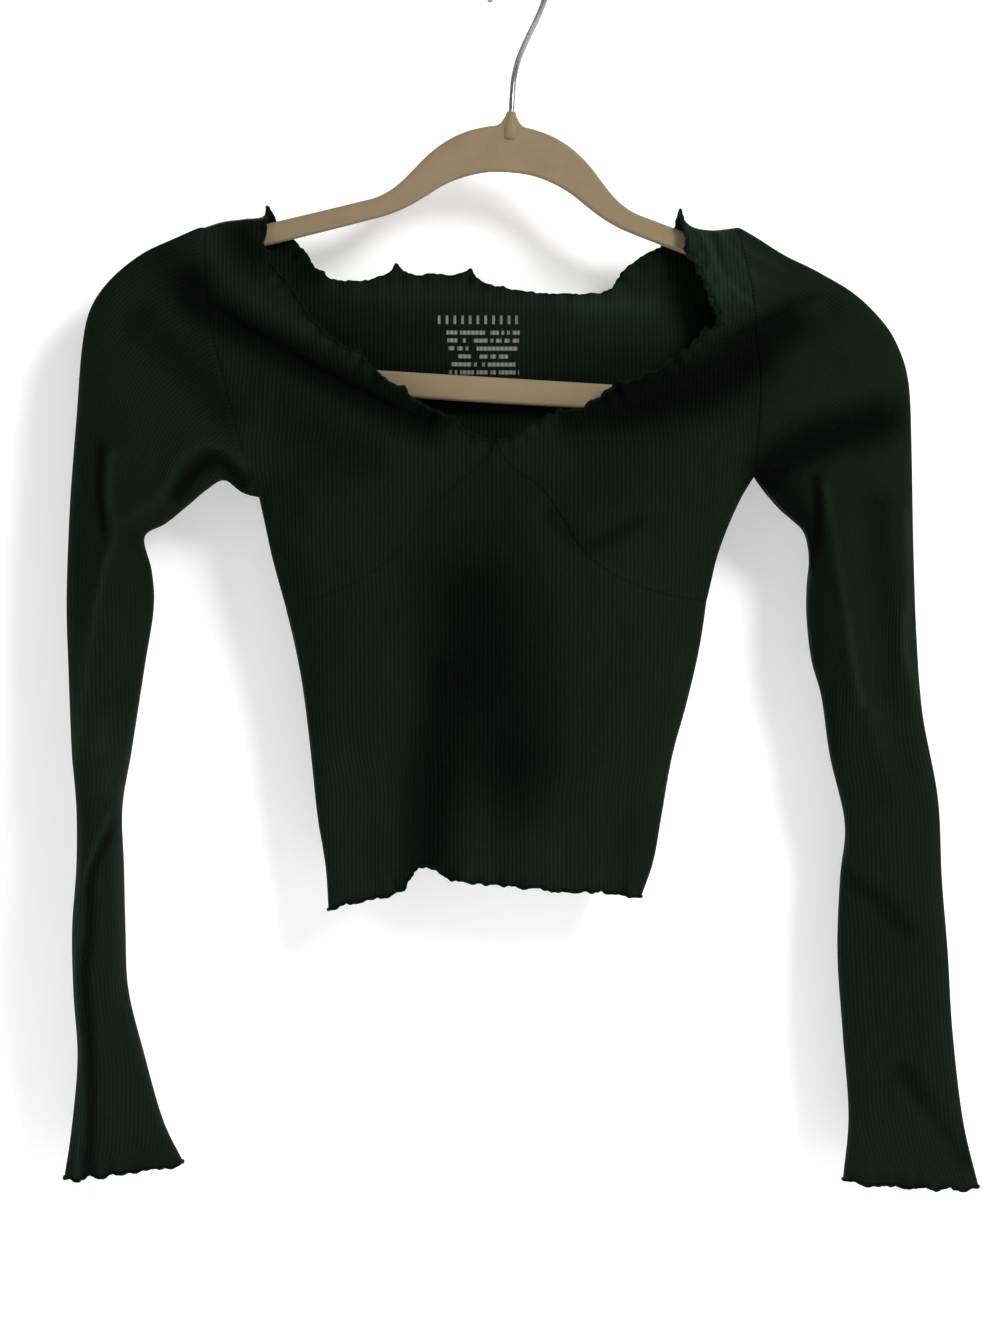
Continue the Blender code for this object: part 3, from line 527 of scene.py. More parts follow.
# -------------------------------------------------------------- mesh makers
def link(name, data):
    obj = bpy.data.objects.new(name, data)
    bpy.context.scene.collection.objects.link(obj)
    return obj


def grid_object(name, points, uv, tube=False, shade=None):
    """Mesh from a grid of places (rows, columns, 3) with a UV map and painted light and shade; a tube joins its columns
    round.
    """
    rows, cols = points.shape[:2]
    index = np.arange(rows * cols).reshape(rows, cols)
    if tube:
        index = np.concatenate([index, index[:, :1]], axis=1)
    quads = np.stack([index[:-1, :-1], index[:-1, 1:], index[1:, 1:], index[1:, :-1]], -1).reshape(-1, 4)
    mesh = bpy.data.meshes.new(name)
    mesh.from_pydata((points.reshape(-1, 3) * MM).tolist(), [], quads.tolist())
    corner = np.stack([uv[:-1, :-1], uv[:-1, 1:], uv[1:, 1:], uv[1:, :-1]], 2).reshape(-1, 2) * MM
    mesh.uv_layers.new(name="knit").data.foreach_set("uv", corner.astype(np.float32).ravel())
    if shade is not None:
        mesh.attributes.new("shade", "FLOAT", "POINT").data.foreach_set("value", shade.astype(np.float32).ravel())
    mesh.shade_smooth()
    mesh.update()
    return link(name, mesh)


def thicken(obj, thickness, finishes):
    """Gives a surface its wall inwards, with the second finish on the inner face."""
    for mat in finishes:
        obj.data.materials.append(mat)
    solid = obj.modifiers.new("wall", "SOLIDIFY")
    solid.thickness = thickness * MM
    solid.offset = -1
    solid.use_even_offset = False
    solid.material_offset = 1 if len(finishes) > 1 else 0
    return obj


def outward(points, centre=None):
    """True if the grid's faces turn away from the middle plane (or from a centre line)."""
    du = points[1:, :-1] - points[:-1, :-1]
    dv = points[:-1, 1:] - points[:-1, :-1]
    normal = np.cross(dv, du)
    away = points[:-1, :-1] - (centre[:-1, :-1] if centre is not None else points[:-1, :-1] * (1, 0, 1))
    return (normal * away).sum() > 0


def tube_object(name, path, radius, sides, closed=False):
    """Round bead carried along a path: rings square to it."""
    path = np.asarray(path, float)
    if closed:
        tangent = np.roll(path, -1, axis=0) - np.roll(path, 1, axis=0)
    else:
        tangent = np.gradient(path, axis=0)
    tangent /= np.linalg.norm(tangent, axis=1, keepdims=True)
    side = np.cross(tangent, (0.08, 1.0, 0.05))
    side /= np.linalg.norm(side, axis=1, keepdims=True)
    up = np.cross(side, tangent)
    run = run_of(path)
    if closed:
        radius = np.concatenate([np.broadcast_to(radius, run.shape), np.broadcast_to(radius, run.shape)[:1]])
        path, side, up, run = (np.concatenate([a, a[:1]]) for a in (path, side, up, run))
        run[-1] = run[-2] + np.linalg.norm(path[-1] - path[-2])
    turn = (tau * np.arange(sides) / sides)[None, :, None]
    radius = np.broadcast_to(radius, run.shape)[:, None, None]
    rings = path[:, None] + radius * (np.cos(turn) * side[:, None] + np.sin(turn) * up[:, None])
    if not closed:  # close both ends with a small dome
        rings = np.concatenate([path[:1, None] + 0 * rings[:1], rings, path[-1:, None] + 0 * rings[-1:]])
        run = np.concatenate([run[:1], run, run[-1:]])
    around = np.linspace(0, 1, sides + 1)
    uv = np.stack(np.broadcast_arrays(around[None] * tau, run[:, None]), -1)
    return mend(grid_object(name, rings, uv, tube=True))


def mend(obj):
    """Merges doubled points and turns the faces out."""
    import bmesh

    bm = bmesh.new()
    bm.from_mesh(obj.data)
    bmesh.ops.remove_doubles(bm, verts=bm.verts, dist=2e-6)
    bmesh.ops.recalc_face_normals(bm, faces=bm.faces)
    bm.to_mesh(obj.data)
    bm.free()
    return obj


# ---------------------------------------------------------------- materials
class Amount:
    """A number inside a material; arithmetic on it adds Math nodes."""

    def __init__(self, recipe, socket):
        self.recipe, self.socket = recipe, socket

    def _do(self, operation, *others):
        return self.recipe.node("ShaderNodeMath", {"operation": operation}, dict(enumerate((self, *others))))

    def __add__(self, other): return self._do("ADD", other)
    def __sub__(self, other): return self._do("SUBTRACT", other)
    def __mul__(self, other): return self._do("MULTIPLY", other)
    def __truediv__(self, other): return self._do("DIVIDE", other)
    def __pow__(self, other): return self._do("POWER", other)
    def __gt__(self, other): return self._do("GREATER_THAN", other)
    def __lt__(self, other): return self._do("LESS_THAN", other)
    def __neg__(self): return self._do("MULTIPLY", -1.0)
    def __rsub__(self, other): return (-self) + other
    def __rpow__(self, base):
        return self.recipe.node("ShaderNodeMath", {"operation": "POWER"}, {0: float(base), 1: self})

    __radd__, __rmul__ = __add__, __mul__

    def sine(self): return self._do("SINE")
    def size(self): return self._do("ABSOLUTE")
    def fraction(self): return self._do("FRACT")
    def whole(self): return self._do("FLOOR")
    def between(self, low, high): return self._do("MAXIMUM", low)._do("MINIMUM", high)


class Recipe:
    """One material: node() adds any node from its type, settings and inputs."""

    def __init__(self, name):
        self.material = bpy.data.materials.new(name)
        self.material.use_nodes = True
        self.tree = self.material.node_tree
        self.shader = self.tree.nodes["Principled BSDF"]

    def feed(self, socket, value):
        if isinstance(value, Amount):
            value = value.socket
        if isinstance(value, bpy.types.NodeSocket):
            self.tree.links.new(value, socket)
        else:
            socket.default_value = value

    def node(self, kind, settings=None, inputs=None, out=0):
        node = self.tree.nodes.new(kind)
        for key, value in (settings or {}).items():
            setattr(node, key, value)
        for key, value in (inputs or {}).items():
            self.feed(node.inputs[key], value)
        return Amount(self, node.outputs[out])

    def split(self, vector):
        node = self.tree.nodes.new("ShaderNodeSeparateXYZ")
        self.feed(node.inputs[0], vector)
        return [Amount(self, s) for s in node.outputs]

    def knit_run(self):
        """The piece's own run across and along its ribs, in millimetres."""
        u, v, _ = self.split(self.node("ShaderNodeUVMap", {"uv_map": "knit"}))
        return u * 1000.0, v * 1000.0

    def place(self):
        """Place on the object, in millimetres, as a vector and as three numbers."""
        where = self.node("ShaderNodeTexCoord", out=3)
        scaled = self.node("ShaderNodeVectorMath", {"operation": "SCALE"}, {0: where, "Scale": 1000.0})
        return scaled, self.split(scaled)

    def noise(self, vector, pitch, detail=2.0, rough=0.5):
        return self.node(
            "ShaderNodeTexNoise", {"noise_dimensions": "3D"},
            {"Vector": vector, "Scale": 1.0 / pitch, "Detail": detail, "Roughness": rough},
        )

    def blend(self, share, one, two):
        return self.node("ShaderNodeMix", {"data_type": "RGBA"}, {0: share, 6: one, 7: two}, out=2)

    def finish(self, **sockets):
        for name, value in sockets.items():
            self.feed(self.shader.inputs[name.replace("_", " ")], value)
        return self.material


def colour(rgb):
    return (*rgb, 1.0)


def rib_knit(name, rgb, pitch=2.3, printed=False):
    """Fine rib: rounded ridges with grooves between, darkened by painted shade, small loops along them, and a soft
    uneven dye.
    """
    r = Recipe(name)
    across, down = r.knit_run()
    where, (x, y, z) = r.place()
    wander = (r.noise(where, 26.0, 1.0) - 0.5) * 0.9
    phase = (across + wander) * (tau / pitch)
    ridge = (phase.sine() * 0.5 + 0.5).between(0.0, 1.0) ** 0.7
    loops = ((down * (tau / 1.25)) + (phase * 0.5).sine().size() * 1.9).sine() * 0.5 + 0.5
    fuzz = r.noise(where, 0.7, 3.0, 0.65)
    cloudy = r.noise(where, 38.0, 3.0, 0.55)
    # painted light and shade from the two tables, carried in the mesh's shade attribute
    painted_shade = r.node("ShaderNodeAttribute", {"attribute_name": "shade"}, out=2)
    # tone: painted shade darkening the rib grooves, random cloud and fuzz, and the painted light and shade of the shade
    # attribute
    tone = (0.78 + ridge * 0.28) * (0.78 + cloudy * 0.44) * (0.86 + fuzz * 0.28) * (2.718 ** painted_shade)
    low = ((-z - 330.0) / 260.0).between(0.0, 1.0)
    tint = r.blend(low, colour(rgb), (rgb[0] * 1.45, rgb[1] * 1.08, rgb[2] * 1.35, 1.0))
    dye = r.node("ShaderNodeVectorMath", {"operation": "SCALE"}, {0: tint, "Scale": tone})
    if printed:
        dye = r.blend(care_print(r, x, z) * (0.5 + ridge * 0.4), dye, (0.20, 0.205, 0.185, 1.0))
    height = ridge * 0.24 + loops * ridge * 0.09 + fuzz * 0.10
    bump = r.node("ShaderNodeBump", None, {"Strength": 1.0, "Distance": 0.001, "Height": height})
    return r.finish(
        Base_Color=dye, Roughness=0.9 - ridge * 0.08, Normal=bump, Sheen_Weight=0.004, Sheen_Roughness=0.5,
        Sheen_Tint=colour((0.62, 0.78, 0.70)), Specular_IOR_Level=0.05,
    )


def care_print(r, x, z):
    """Plain printed dashes: a spaced row of short bars over a block of broken lines. No lettering."""
    left, top = -45.0, -194.0
    across, down = x - left, -(z - top)
    head = (across > 0.0) * (across < 46.0) * (down > 0.8) * (down < 5.4)
    head = head * ((across / 4.2).fraction() < 0.34)
    row = ((down - 9.0) / 4.3).whole()
    cells = r.node("ShaderNodeTexWhiteNoise", {"noise_dimensions": "2D"}, {"Vector": r.node(
        "ShaderNodeCombineXYZ", None, {0: (across / 1.5).whole(), 1: row})})
    width = r.node("ShaderNodeTexWhiteNoise", {"noise_dimensions": "1D"}, {"W": row + 0.5})
    half = 13.0 + width * 7.0
    block = (((across - 24.5).size()) - half) < 0.0
    block = block * (down > 9.0) * (down < 39.0) * (((down - 9.0) / 4.3).fraction() < 0.5) * (cells > 0.3)
    return (head + block).between(0.0, 1.0)


def edging(name, rgb):
    """Overlocked thread wound closely round a rolled edge."""
    r = Recipe(name)
    around, down = r.knit_run()
    where, _ = r.place()
    wrap = (down * (tau / 0.62) + around).sine() * 0.5 + 0.5
    fuzz = r.noise(where, 0.5, 2.0, 0.6)
    # painted shade: the thread is darker between its wraps
    tone = (0.5 + wrap * 0.7) * (0.85 + fuzz * 0.3)
    dye = r.node("ShaderNodeVectorMath", {"operation": "SCALE"}, {0: tuple(rgb), "Scale": tone})
    bump = r.node("ShaderNodeBump", None, {"Strength": 0.9, "Distance": 0.001, "Height": wrap * 0.22 + fuzz * 0.1})
    return r.finish(Base_Color=dye, Roughness=0.85, Normal=bump, Specular_IOR_Level=0.04)


def flocking(name, rgb):
    """Short velvet pile: fine speckle, brushed patches, and a painted highlight that makes the lower bar slightly
    paler.
    """
    r = Recipe(name)
    where, (x, y, z) = r.place()
    pile = r.noise(where, 0.45, 3.0, 0.7)
    brushed = r.noise(where, 14.0, 3.0, 0.6)
    # painted highlight: the lower bar is made slightly paler
    level = z + x * 0.061
    bar = ((-level - 222.0) / 8.0).between(0.0, 1.0)
    tone = (0.80 + pile * 0.4) * (0.88 + brushed * 0.24) * (1.0 + bar * 0.06)
    dye = r.node("ShaderNodeVectorMath", {"operation": "SCALE"}, {0: tuple(rgb), "Scale": tone})
    bump = r.node("ShaderNodeBump", None, {"Strength": 0.6, "Distance": 0.001, "Height": pile * 0.3 + brushed * 0.3})
    return r.finish(
        Base_Color=dye, Roughness=0.95, Normal=bump, Sheen_Weight=0.12, Sheen_Roughness=0.5,
        Sheen_Tint=colour((0.9, 0.8, 0.66)), Specular_IOR_Level=0.1,
    )


def bright_wire(name):
    """Plated steel wire with faint drawing marks along it."""
    r = Recipe(name)
    _, down = r.knit_run()
    where, _ = r.place()
    scuff = r.noise(where, 3.0, 4.0, 0.6)
    fine = r.noise(where, 0.5, 2.0, 0.5)
    bump = r.node("ShaderNodeBump", None, {"Strength": 0.15, "Distance": 0.001, "Height": fine * 0.05})
    shade = r.node("ShaderNodeVectorMath", {"operation": "SCALE"}, {0: (0.30, 0.30, 0.30), "Scale": 0.75 + scuff * 0.5})
    return r.finish(Base_Color=shade, Metallic=1.0, Roughness=0.18 + scuff * 0.16, Normal=bump)


# -------------------------------------------------------------------- cloth
def fine(n):
    return n


def inward(edge, by, towards):
    """An edge moved square to itself, towards a side given by a rough direction for each point."""
    t = np.gradient(edge, axis=0)
    square = np.stack([-t[:, 1], t[:, 0]], -1)
    square /= np.linalg.norm(square, axis=1, keepdims=True)
    square *= np.sign((square * towards).sum(-1, keepdims=True))
    return edge + by * square


def scallop(edge, pitch, height, seed, away=1.0, flicks=(), ends=6.0):
    """A free edge drawn into small uneven scallops in its own plane, with a few pointed flicks:
    each flick is a cusp that falls off with the distance along the edge."""
    run = run_of(edge)
    fade = np.clip(np.minimum(run, run[-1] - run) / ends, 0, 1)
    wave = height * fade * (ripple(run, pitch, seed) + 0.5 * ripple(run, pitch * 0.46, seed + 3))
    for x, z, tall, wide in flicks:
        at = run[np.argmin(np.hypot(edge[:, 0] - x, edge[:, 1] - z))]
        wave = wave + away * tall * np.exp(-np.abs(run - at) / wide)
    t = np.gradient(edge, axis=0)
    square = np.stack([-t[:, 1], t[:, 0]], -1) / np.linalg.norm(t, axis=1, keepdims=True)
    return edge + wave[:, None] * square


def body_surface(xz, side, seams):
    sign = -1.0 if side == "front" else 1.0
    from_side = nearer(xz, SIDE_LINES)
    depth = (body_depth(xz, side) + edge_ruffles(xz, side) * rounding(from_side, 14.0)
             + seam_groove(xz, seams) * rounding(from_side, 10.0))
    depth = np.maximum(depth, SEAM_GAP / 2)
    return np.stack([xz[..., 0], sign * depth, xz[..., 1]], -1)


def cloth_piece(name, xz, side, seams, finishes):
    points = body_surface(xz, side, seams)
    uv = np.stack([rib_run(xz, side), xz[..., 1]], -1)
    shade = shade_of(xz, side)
    edges = {"first_row": points[0], "last_row": points[-1], "first_column": points[:, 0]}
    if not outward(points):
        points, uv, shade = points[:, ::-1], uv[:, ::-1], shade[:, ::-1]
    return thicken(grid_object(name, points, uv, shade=shade), SHELL, finishes), edges


def neck_edge(side):
    seed, away = (1.0, 1.0) if side == "left" else (2.6, -1.0)
    pitch, height = (9.0, 0.9) if side == "left" else (13.0, 0.4)
    return scallop(along(FRONT_NECK[side], steps(fine(260))), pitch, height, seed, away, NECK_FLICKS[side])


def bust_panel(side, finishes):
    """Rows run from the bust seam up to the shoulder, columns from neckline to armhole."""
    rows, cols = fine(170), fine(130)
    v = steps(rows)
    lower_share = 0.26
    below = v[v < lower_share] / lower_share
    above = (v[v >= lower_share] - lower_share) / (1 - lower_share)
    outer_edge = np.vstack([along(SIDE_UPPER[side][::-1], below), along(ARMHOLE[side][::-1], above)])
    neck = neck_edge(side)
    run = run_of(neck)
    neck = np.stack([np.interp(v * run[-1], run, neck[:, k]) for k in (0, 1)], -1)
    u = eased(cols)
    seam = along(BUST_SEAM[side], u)
    shoulder = along(SHOULDER_SEAM[side], u)
    seam_in = inward(seam, SEAM_GAP / 2, np.tile((0.0, 1.0), (len(seam), 1)))
    toward = np.tile((-1.0 if side == "left" else 1.0, 0.0), (len(outer_edge), 1))
    outer_in = np.where((v >= lower_share)[:, None], inward(outer_edge, SEAM_GAP / 2, toward), outer_edge)
    seam_in[0], seam_in[-1] = seam[0] + (0, SEAM_GAP / 2), seam[-1] + (0, SEAM_GAP / 2)
    neck[0], outer_in[0], outer_in[-1] = seam_in[0], seam_in[-1], shoulder[-1]
    grid = coons(seam_in, shoulder, neck, outer_in, v, u)
    return cloth_piece(
        f"bust_panel_{side}", grid, "front",
        [(smooth_path(BUST_SEAM[side], 4), SEAM_PULL), (smooth_path(ARMHOLE[side], 4), ARMHOLE_PULL)], finishes,
    )


def lower_front(finishes):
    """Rows run from the hem up to the two bust seams, columns from right to left."""
    rows, half = fine(120), fine(84)
    right, left = (along(BUST_SEAM[s], steps(half)) for s in ("right", "left"))
    top = np.vstack([right[::-1], left[1:]])
    top = top - (0, SEAM_GAP / 2)
    hem = scallop(along(HEM_FRONT, steps(2 * half)), 11.0, 0.7, 0.6)
    v = eased(rows, 0.4)
    sides = [along(SIDE_LOWER[s][::-1], v) for s in ("right", "left")]
    sides[0][-1], sides[1][-1] = top[0], top[-1]
    grid = coons(hem, top, *sides, v)
    seams = [(smooth_path(BUST_SEAM[s], 4), SEAM_PULL) for s in BUST_SEAM]
    return cloth_piece("lower_front", grid, "front", seams, finishes)


def back_panel(finishes):
    """Rows run from the hem up to shoulders and neckline, columns from right to left."""
    rows, shoulder, neck = fine(180), fine(18), fine(150)
    v = eased(rows, 0.3)
    split = 0.58
    edges = []
    for s in ("right", "left"):
        seam = (SIDE_UPPER[s] + SIDE_LOWER[s][1:])[::-1]
        upper = (v[v >= split] - split) / (1 - split)
        edge = np.vstack([along(seam, v[v < split] / split), along(ARMHOLE[s][::-1], upper)])
        toward = np.tile((1.0 if s == "right" else -1.0, 0.0), (len(edge), 1))
        moved = np.where((v >= split)[:, None], inward(edge, SEAM_GAP / 2, toward), edge)
        edges.append(moved)
    top = np.vstack([
        along(SHOULDER_SEAM["right"][::-1], steps(shoulder))[:-1],
        scallop(along(BACK_NECK, steps(neck)), 10.0, 0.45, 4.0, 1.0, NECK_FLICKS["back"]),
        along(SHOULDER_SEAM["left"], steps(shoulder))[1:],
    ])
    top[0], top[-1] = edges[0][-1], edges[1][-1]
    bottom = scallop(along(HEM_BACK, steps(len(top) - 1)), 12.0, 0.7, 5.0)
    grid = coons(bottom, top, edges[0], edges[1], v)
    seams = [(smooth_path(ARMHOLE[s], 4), ARMHOLE_PULL) for s in ARMHOLE]
    return cloth_piece("back_panel", grid, "back", seams, finishes)


def sleeve(side, finishes):
    """Rings from the armhole to the cuff.  A ring lies between an outer and an inner edge; its
    front and back stand off the line between them as the root of a half ellipse, with the creases added."""
    rings, half_count = fine(300), fine(60)
    rows = along(np.asarray(SLEEVE[side], float), steps(rings))
    angle = np.linspace(0, np.pi, half_count + 1)
    half = 0.5 - 0.5 * np.cos(angle)
    there = np.concatenate([half, half[-2:0:-1]])
    front = np.arange(len(there)) < len(half)
    edge = along(ARMHOLE[side], half)
    bow = edge - (edge[0] + half[:, None] * (edge[-1] - edge[0]))
    bow = np.vstack([bow, bow[-2:0:-1]])
    share = np.linspace(0, 1, len(rows))
    hold = (np.clip(1 - share * 26 / 5, 0, 1) ** 2)[:, None]
    a, b = rows[:, None, 0:2], rows[:, None, 2:4]
    xz = a + there[None, :, None] * (b - a) + hold[..., None] * bow[None]
    arch = 2 * np.sqrt(there * (1 - there))[None]
    depth = np.where(front, rows[:, [4]], rows[:, [5]]) * arch ** rows[:, [6]]
    crease = np.where(
        front,
        folds(xz, FRONT_FOLDS) + folds(xz, FRONT_CREASES) + laps(xz, FRONT_LAPS) + laps(xz, SLEEVE_LAPS[side]),
        folds(xz, BACK_FOLDS),
    )
    crease = crease * arch**0.5
    shade = np.where(front, shade_of(xz, "front"), shade_of(xz, "back"))
    depth = np.maximum(depth + crease, np.minimum(depth, 5.0))
    body = np.where(front, body_depth(xz, "front"), body_depth(xz, "back"))
    depth = hold * body + (1 - hold) * depth
    depth[:, (there == 0) | (there == 1)] = 0
    run_down = run_of((rows[:, 0:2] + rows[:, 2:4]) / 2)
    from_cuff = run_down[-1] - run_down
    # cuff: the edge flutters in and out and up and down
    round_run = np.cumsum(np.concatenate([[0], np.hypot(*np.diff(np.stack([xz[-1, :, 0], depth[-1]]), axis=1))]))
    lively = np.exp(-((from_cuff / 8.0) ** 1.4))[:, None]
    depth = depth + 2.2 * lively * ripple(round_run, 13.0, 1.1 if side == "left" else 2.9)[None] * arch**0.6
    xz[..., 1] += 1.1 * lively * (ripple(round_run, 17.0, 4.2) + 0.5 * ripple(round_run, 7.0, 2.0))[None] * arch**0.4
    near = -0.7 * np.exp(-((run_down / 1.3) ** 2)) + 0.2 * np.exp(-(((run_down - 3.4) / 1.6) ** 2))
    depth = depth + near[:, None] * arch
    points = np.stack([xz[..., 0], np.where(front, -depth, depth), xz[..., 1]], -1)
    away = inward(edge, SEAM_GAP / 2, np.tile((1.0 if side == "left" else -1.0, 0.0), (len(edge), 1))) - edge
    away = np.vstack([away, away[-2:0:-1]])
    points[0][:, [0, 2]] += away
    # run over the cloth from the outer edge, front and back apart, so that ribs keep their pitch
    loop = np.concatenate([points, points[:, :1]], axis=1)
    segment = np.linalg.norm(np.diff(loop, axis=1), axis=2)
    forward = np.concatenate([np.zeros((len(rows), 1)), np.cumsum(segment, axis=1)], axis=1)
    u = np.where(np.arange(loop.shape[1]) <= half_count, forward, forward - forward[:, -1:])
    uv = np.stack(np.broadcast_arrays(u, -run_down[:, None]), -1)
    centre = points.mean(axis=1, keepdims=True)
    obj = grid_object(f"sleeve_cloth_{side}", points, uv, tube=True, shade=shade)
    if not outward(points, np.broadcast_to(centre, points.shape)):
        obj.data.flip_normals()
    return thicken(obj, SHELL, finishes), {"cuff": points[-1]}


def declared(obj, node):
    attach(obj, "root")
    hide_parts(node)
    return obj


# ------------------------------------------------------------------- hanger
def leaned(points):
    """Own upright frame of the hanger turned by its tilt."""
    turn = np.array(Matrix.Rotation(radians(HANGER_TILT), 3, "Y"))
    return points @ turn.T


def hanger_body(finish):
    """Flat body: a section with rounded edges carried round between outline and opening."""
    count = fine(300)
    rings = []
    for half, way, angles in (
        (HANGER_OUTLINE, 1, np.radians(np.linspace(90, -90, 13))),
        (HANGER_HOLE, -1, np.radians(np.linspace(-90, 90, 13))),
    ):
        right = along(half, steps(count))
        edge = np.vstack([right, (right * (-1, 1))[-2:0:-1]])
        t = np.roll(edge, -1, axis=0) - np.roll(edge, 1, axis=0)
        square = np.stack([t[:, 1], -t[:, 0]], -1) / np.linalg.norm(t, axis=1, keepdims=True)
        for a in angles:
            ring = edge + way * HANGER_ROUND * (1 - cos(a)) * square
            y = -(HANGER_THICK / 2 - HANGER_ROUND) * np.sign(round(sin(a), 6)) - HANGER_ROUND * sin(a)
            rings.append(np.stack([ring[:, 0], np.full(len(ring), y), ring[:, 1]], -1))
    rings.append(rings[0])
    points = leaned(np.stack(rings))
    uv = np.stack(np.meshgrid(np.arange(points.shape[1] + 1), np.arange(points.shape[0])), -1).astype(float)
    obj = mend(grid_object("hanger", points, uv, tube=True))
    obj.data.materials.append(finish)
    return obj


def hanger_boss(finish):
    """Small turned cone that grips the wire: a profile of radius and height carried round."""
    radius, height = np.array((
        (0, -101), (4.0, -101), (4.3, -97), (4.1, -93.5), (3.4, -90), (2.7, -87), (2.45, -86.2), (2.1, -86), (1.7, -86),
        (1.7, -90), (0, -90),
    )).T[..., None]
    sides = 40
    turn = tau * np.arange(sides) / sides
    rings = np.stack(np.broadcast_arrays(radius * np.cos(turn), radius * np.sin(turn), height), -1)
    uv = np.stack(np.meshgrid(np.arange(sides + 1), np.arange(len(radius))), -1).astype(float)
    obj = mend(grid_object("hanger_boss", leaned(rings), uv, tube=True))
    obj.data.materials.append(finish)
    return obj


def hook_wire(finish):
    centre = WIRE / 2 - HOOK_RADIUS
    turn = np.radians(np.linspace(0, 198, 40))
    loop = np.stack([HOOK_RADIUS * np.cos(turn), centre + HOOK_RADIUS * np.sin(turn)], -1)
    path = along(np.vstack([HOOK_STEM, loop]), steps(fine(240)))
    swivel = radians(HOOK_SWIVEL)
    points = leaned(np.stack([path[:, 0] * cos(swivel), -path[:, 0] * sin(swivel), path[:, 1]], -1))
    run = run_of(points)
    radius = WIRE / 2 * np.sqrt(np.clip(1 - (1 - np.clip(np.minimum(run, run[-1] - run) / 1.4, 0, 1)) ** 2, 0.05, 1))
    obj = tube_object("hook", points, radius, 20)
    obj.data.materials.append(finish)
    return obj


# --------------------------------------------------------------- properties
class CropTopCloth(bpy.types.PropertyGroup):
    dye: bpy.props.FloatVectorProperty(
        name="Dye", description="Colour of the rib knit", subtype="COLOR", size=3, min=0, max=1,
        default=(0.0038, 0.0080, 0.0046))
    rib_pitch: bpy.props.FloatProperty(
        name="Rib pitch", description="Distance from one rib to the next", unit="LENGTH", default=0.0023, min=0.0005)
    edge_bead: bpy.props.FloatProperty(
        name="Edge bead", description="Radius of the rolled overlocked edge", unit="LENGTH", default=0.0009, min=0.0002)


class CropTopHanger(bpy.types.PropertyGroup):
    flock: bpy.props.FloatVectorProperty(
        name="Flock", description="Colour of the hanger's flocking", subtype="COLOR", size=3, min=0, max=1,
        default=(0.217, 0.166, 0.100))


class CropTopStudio(bpy.types.PropertyGroup):
    wall_gap: bpy.props.FloatProperty(
        name="Wall gap", description="Wall behind the hanging top", unit="LENGTH", default=0.043, min=0.03)
    key_power: bpy.props.FloatProperty(
        name="Key power", description="Power of the large soft light", subtype="POWER", default=30.0, min=0)
    sky: bpy.props.FloatProperty(name="Sky", description="Strength of the light from all round", default=0.22, min=0)


# ---------------------------------------------------------------- operators
class CROPTOP_OT_cloth(bpy.types.Operator):
    """Make the six sewn panels of the top"""

    bl_idname = "croptop.cloth"
    bl_label = "Make cloth"

    def execute(self, context):
        sizes = context.scene.croptop_cloth
        outside = rib_knit("rib_knit", sizes.dye, sizes.rib_pitch * 1000)
        printed = rib_knit("rib_knit_printed", sizes.dye, sizes.rib_pitch * 1000, printed=True)
        lower, found = lower_front([outside])
        declared(lower, "front_lower")
        edges = {"hem_front": found["first_row"]}
        for side, flat, area in (("left", (0.17, 0.19), 0.0160), ("right", (0.18, 0.19), 0.0172)):
            panel, found = bust_panel(side, [outside])
            edges["neck_" + side] = found["first_column"]
            declared(panel, "front_bust_" + side)
        back, found = back_panel([outside, printed])
        ends = fine(18)
        edges["hem_back"], edges["neck_back"] = found["first_row"], found["last_row"][ends:-ends]
        declared(back, "back")
        for side in ("left", "right"):
            arm, found = sleeve(side, [outside])
            edges["cuff_" + side] = found["cuff"]
            declared(arm, "sleeve_" + side)
        FREE_EDGES.update(edges)
        return {"FINISHED"}


FREE_EDGES = {}  # the open edges of the cloth, as it was made
BEAD_STEP = 0.9


class CROPTOP_OT_edges(bpy.types.Operator):
    """Wind overlocked thread round the neck, hem and cuff edges"""

    bl_idname = "croptop.edges"
    bl_label = "Make edges"

    def execute(self, context):
        sizes = context.scene.croptop_cloth
        thread = edging("overlock_thread", [c * 0.9 for c in sizes.dye])
        for name, path in FREE_EDGES.items():
            count = fine(int(run_of(path)[-1] / BEAD_STEP))
            closed = name.startswith("cuff")
            if closed:
                path = np.vstack([path, path[:1]])
            run = run_of(path)
            at = np.linspace(0, run[-1], count, endpoint=not closed)
            even = np.stack([np.interp(at, run, path[:, k]) for k in range(3)], -1)
            bead = sizes.edge_bead * 1000 * (1 + 0.22 * ripple(at, 5.0, 1.0))
            obj = tube_object(name + "_bead", even, bead, 8, closed)
            obj.data.materials.append(thread)
            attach(obj, "root")
        return {"FINISHED"}


class CROPTOP_OT_hanger(bpy.types.Operator):
    """Make the flocked hanger and its hook"""

    bl_idname = "croptop.hanger"
    bl_label = "Make hanger"

    def execute(self, context):
        flock = flocking("flocking", context.scene.croptop_hanger.flock)
        body, boss = hanger_body(flock), hanger_boss(flock)
        hook = hook_wire(bright_wire("hook_wire"))
        for obj in (body, boss, hook):
            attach(obj, "root")
        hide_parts("hanger_body")
        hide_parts("hanger_hook")
        return {"FINISHED"}


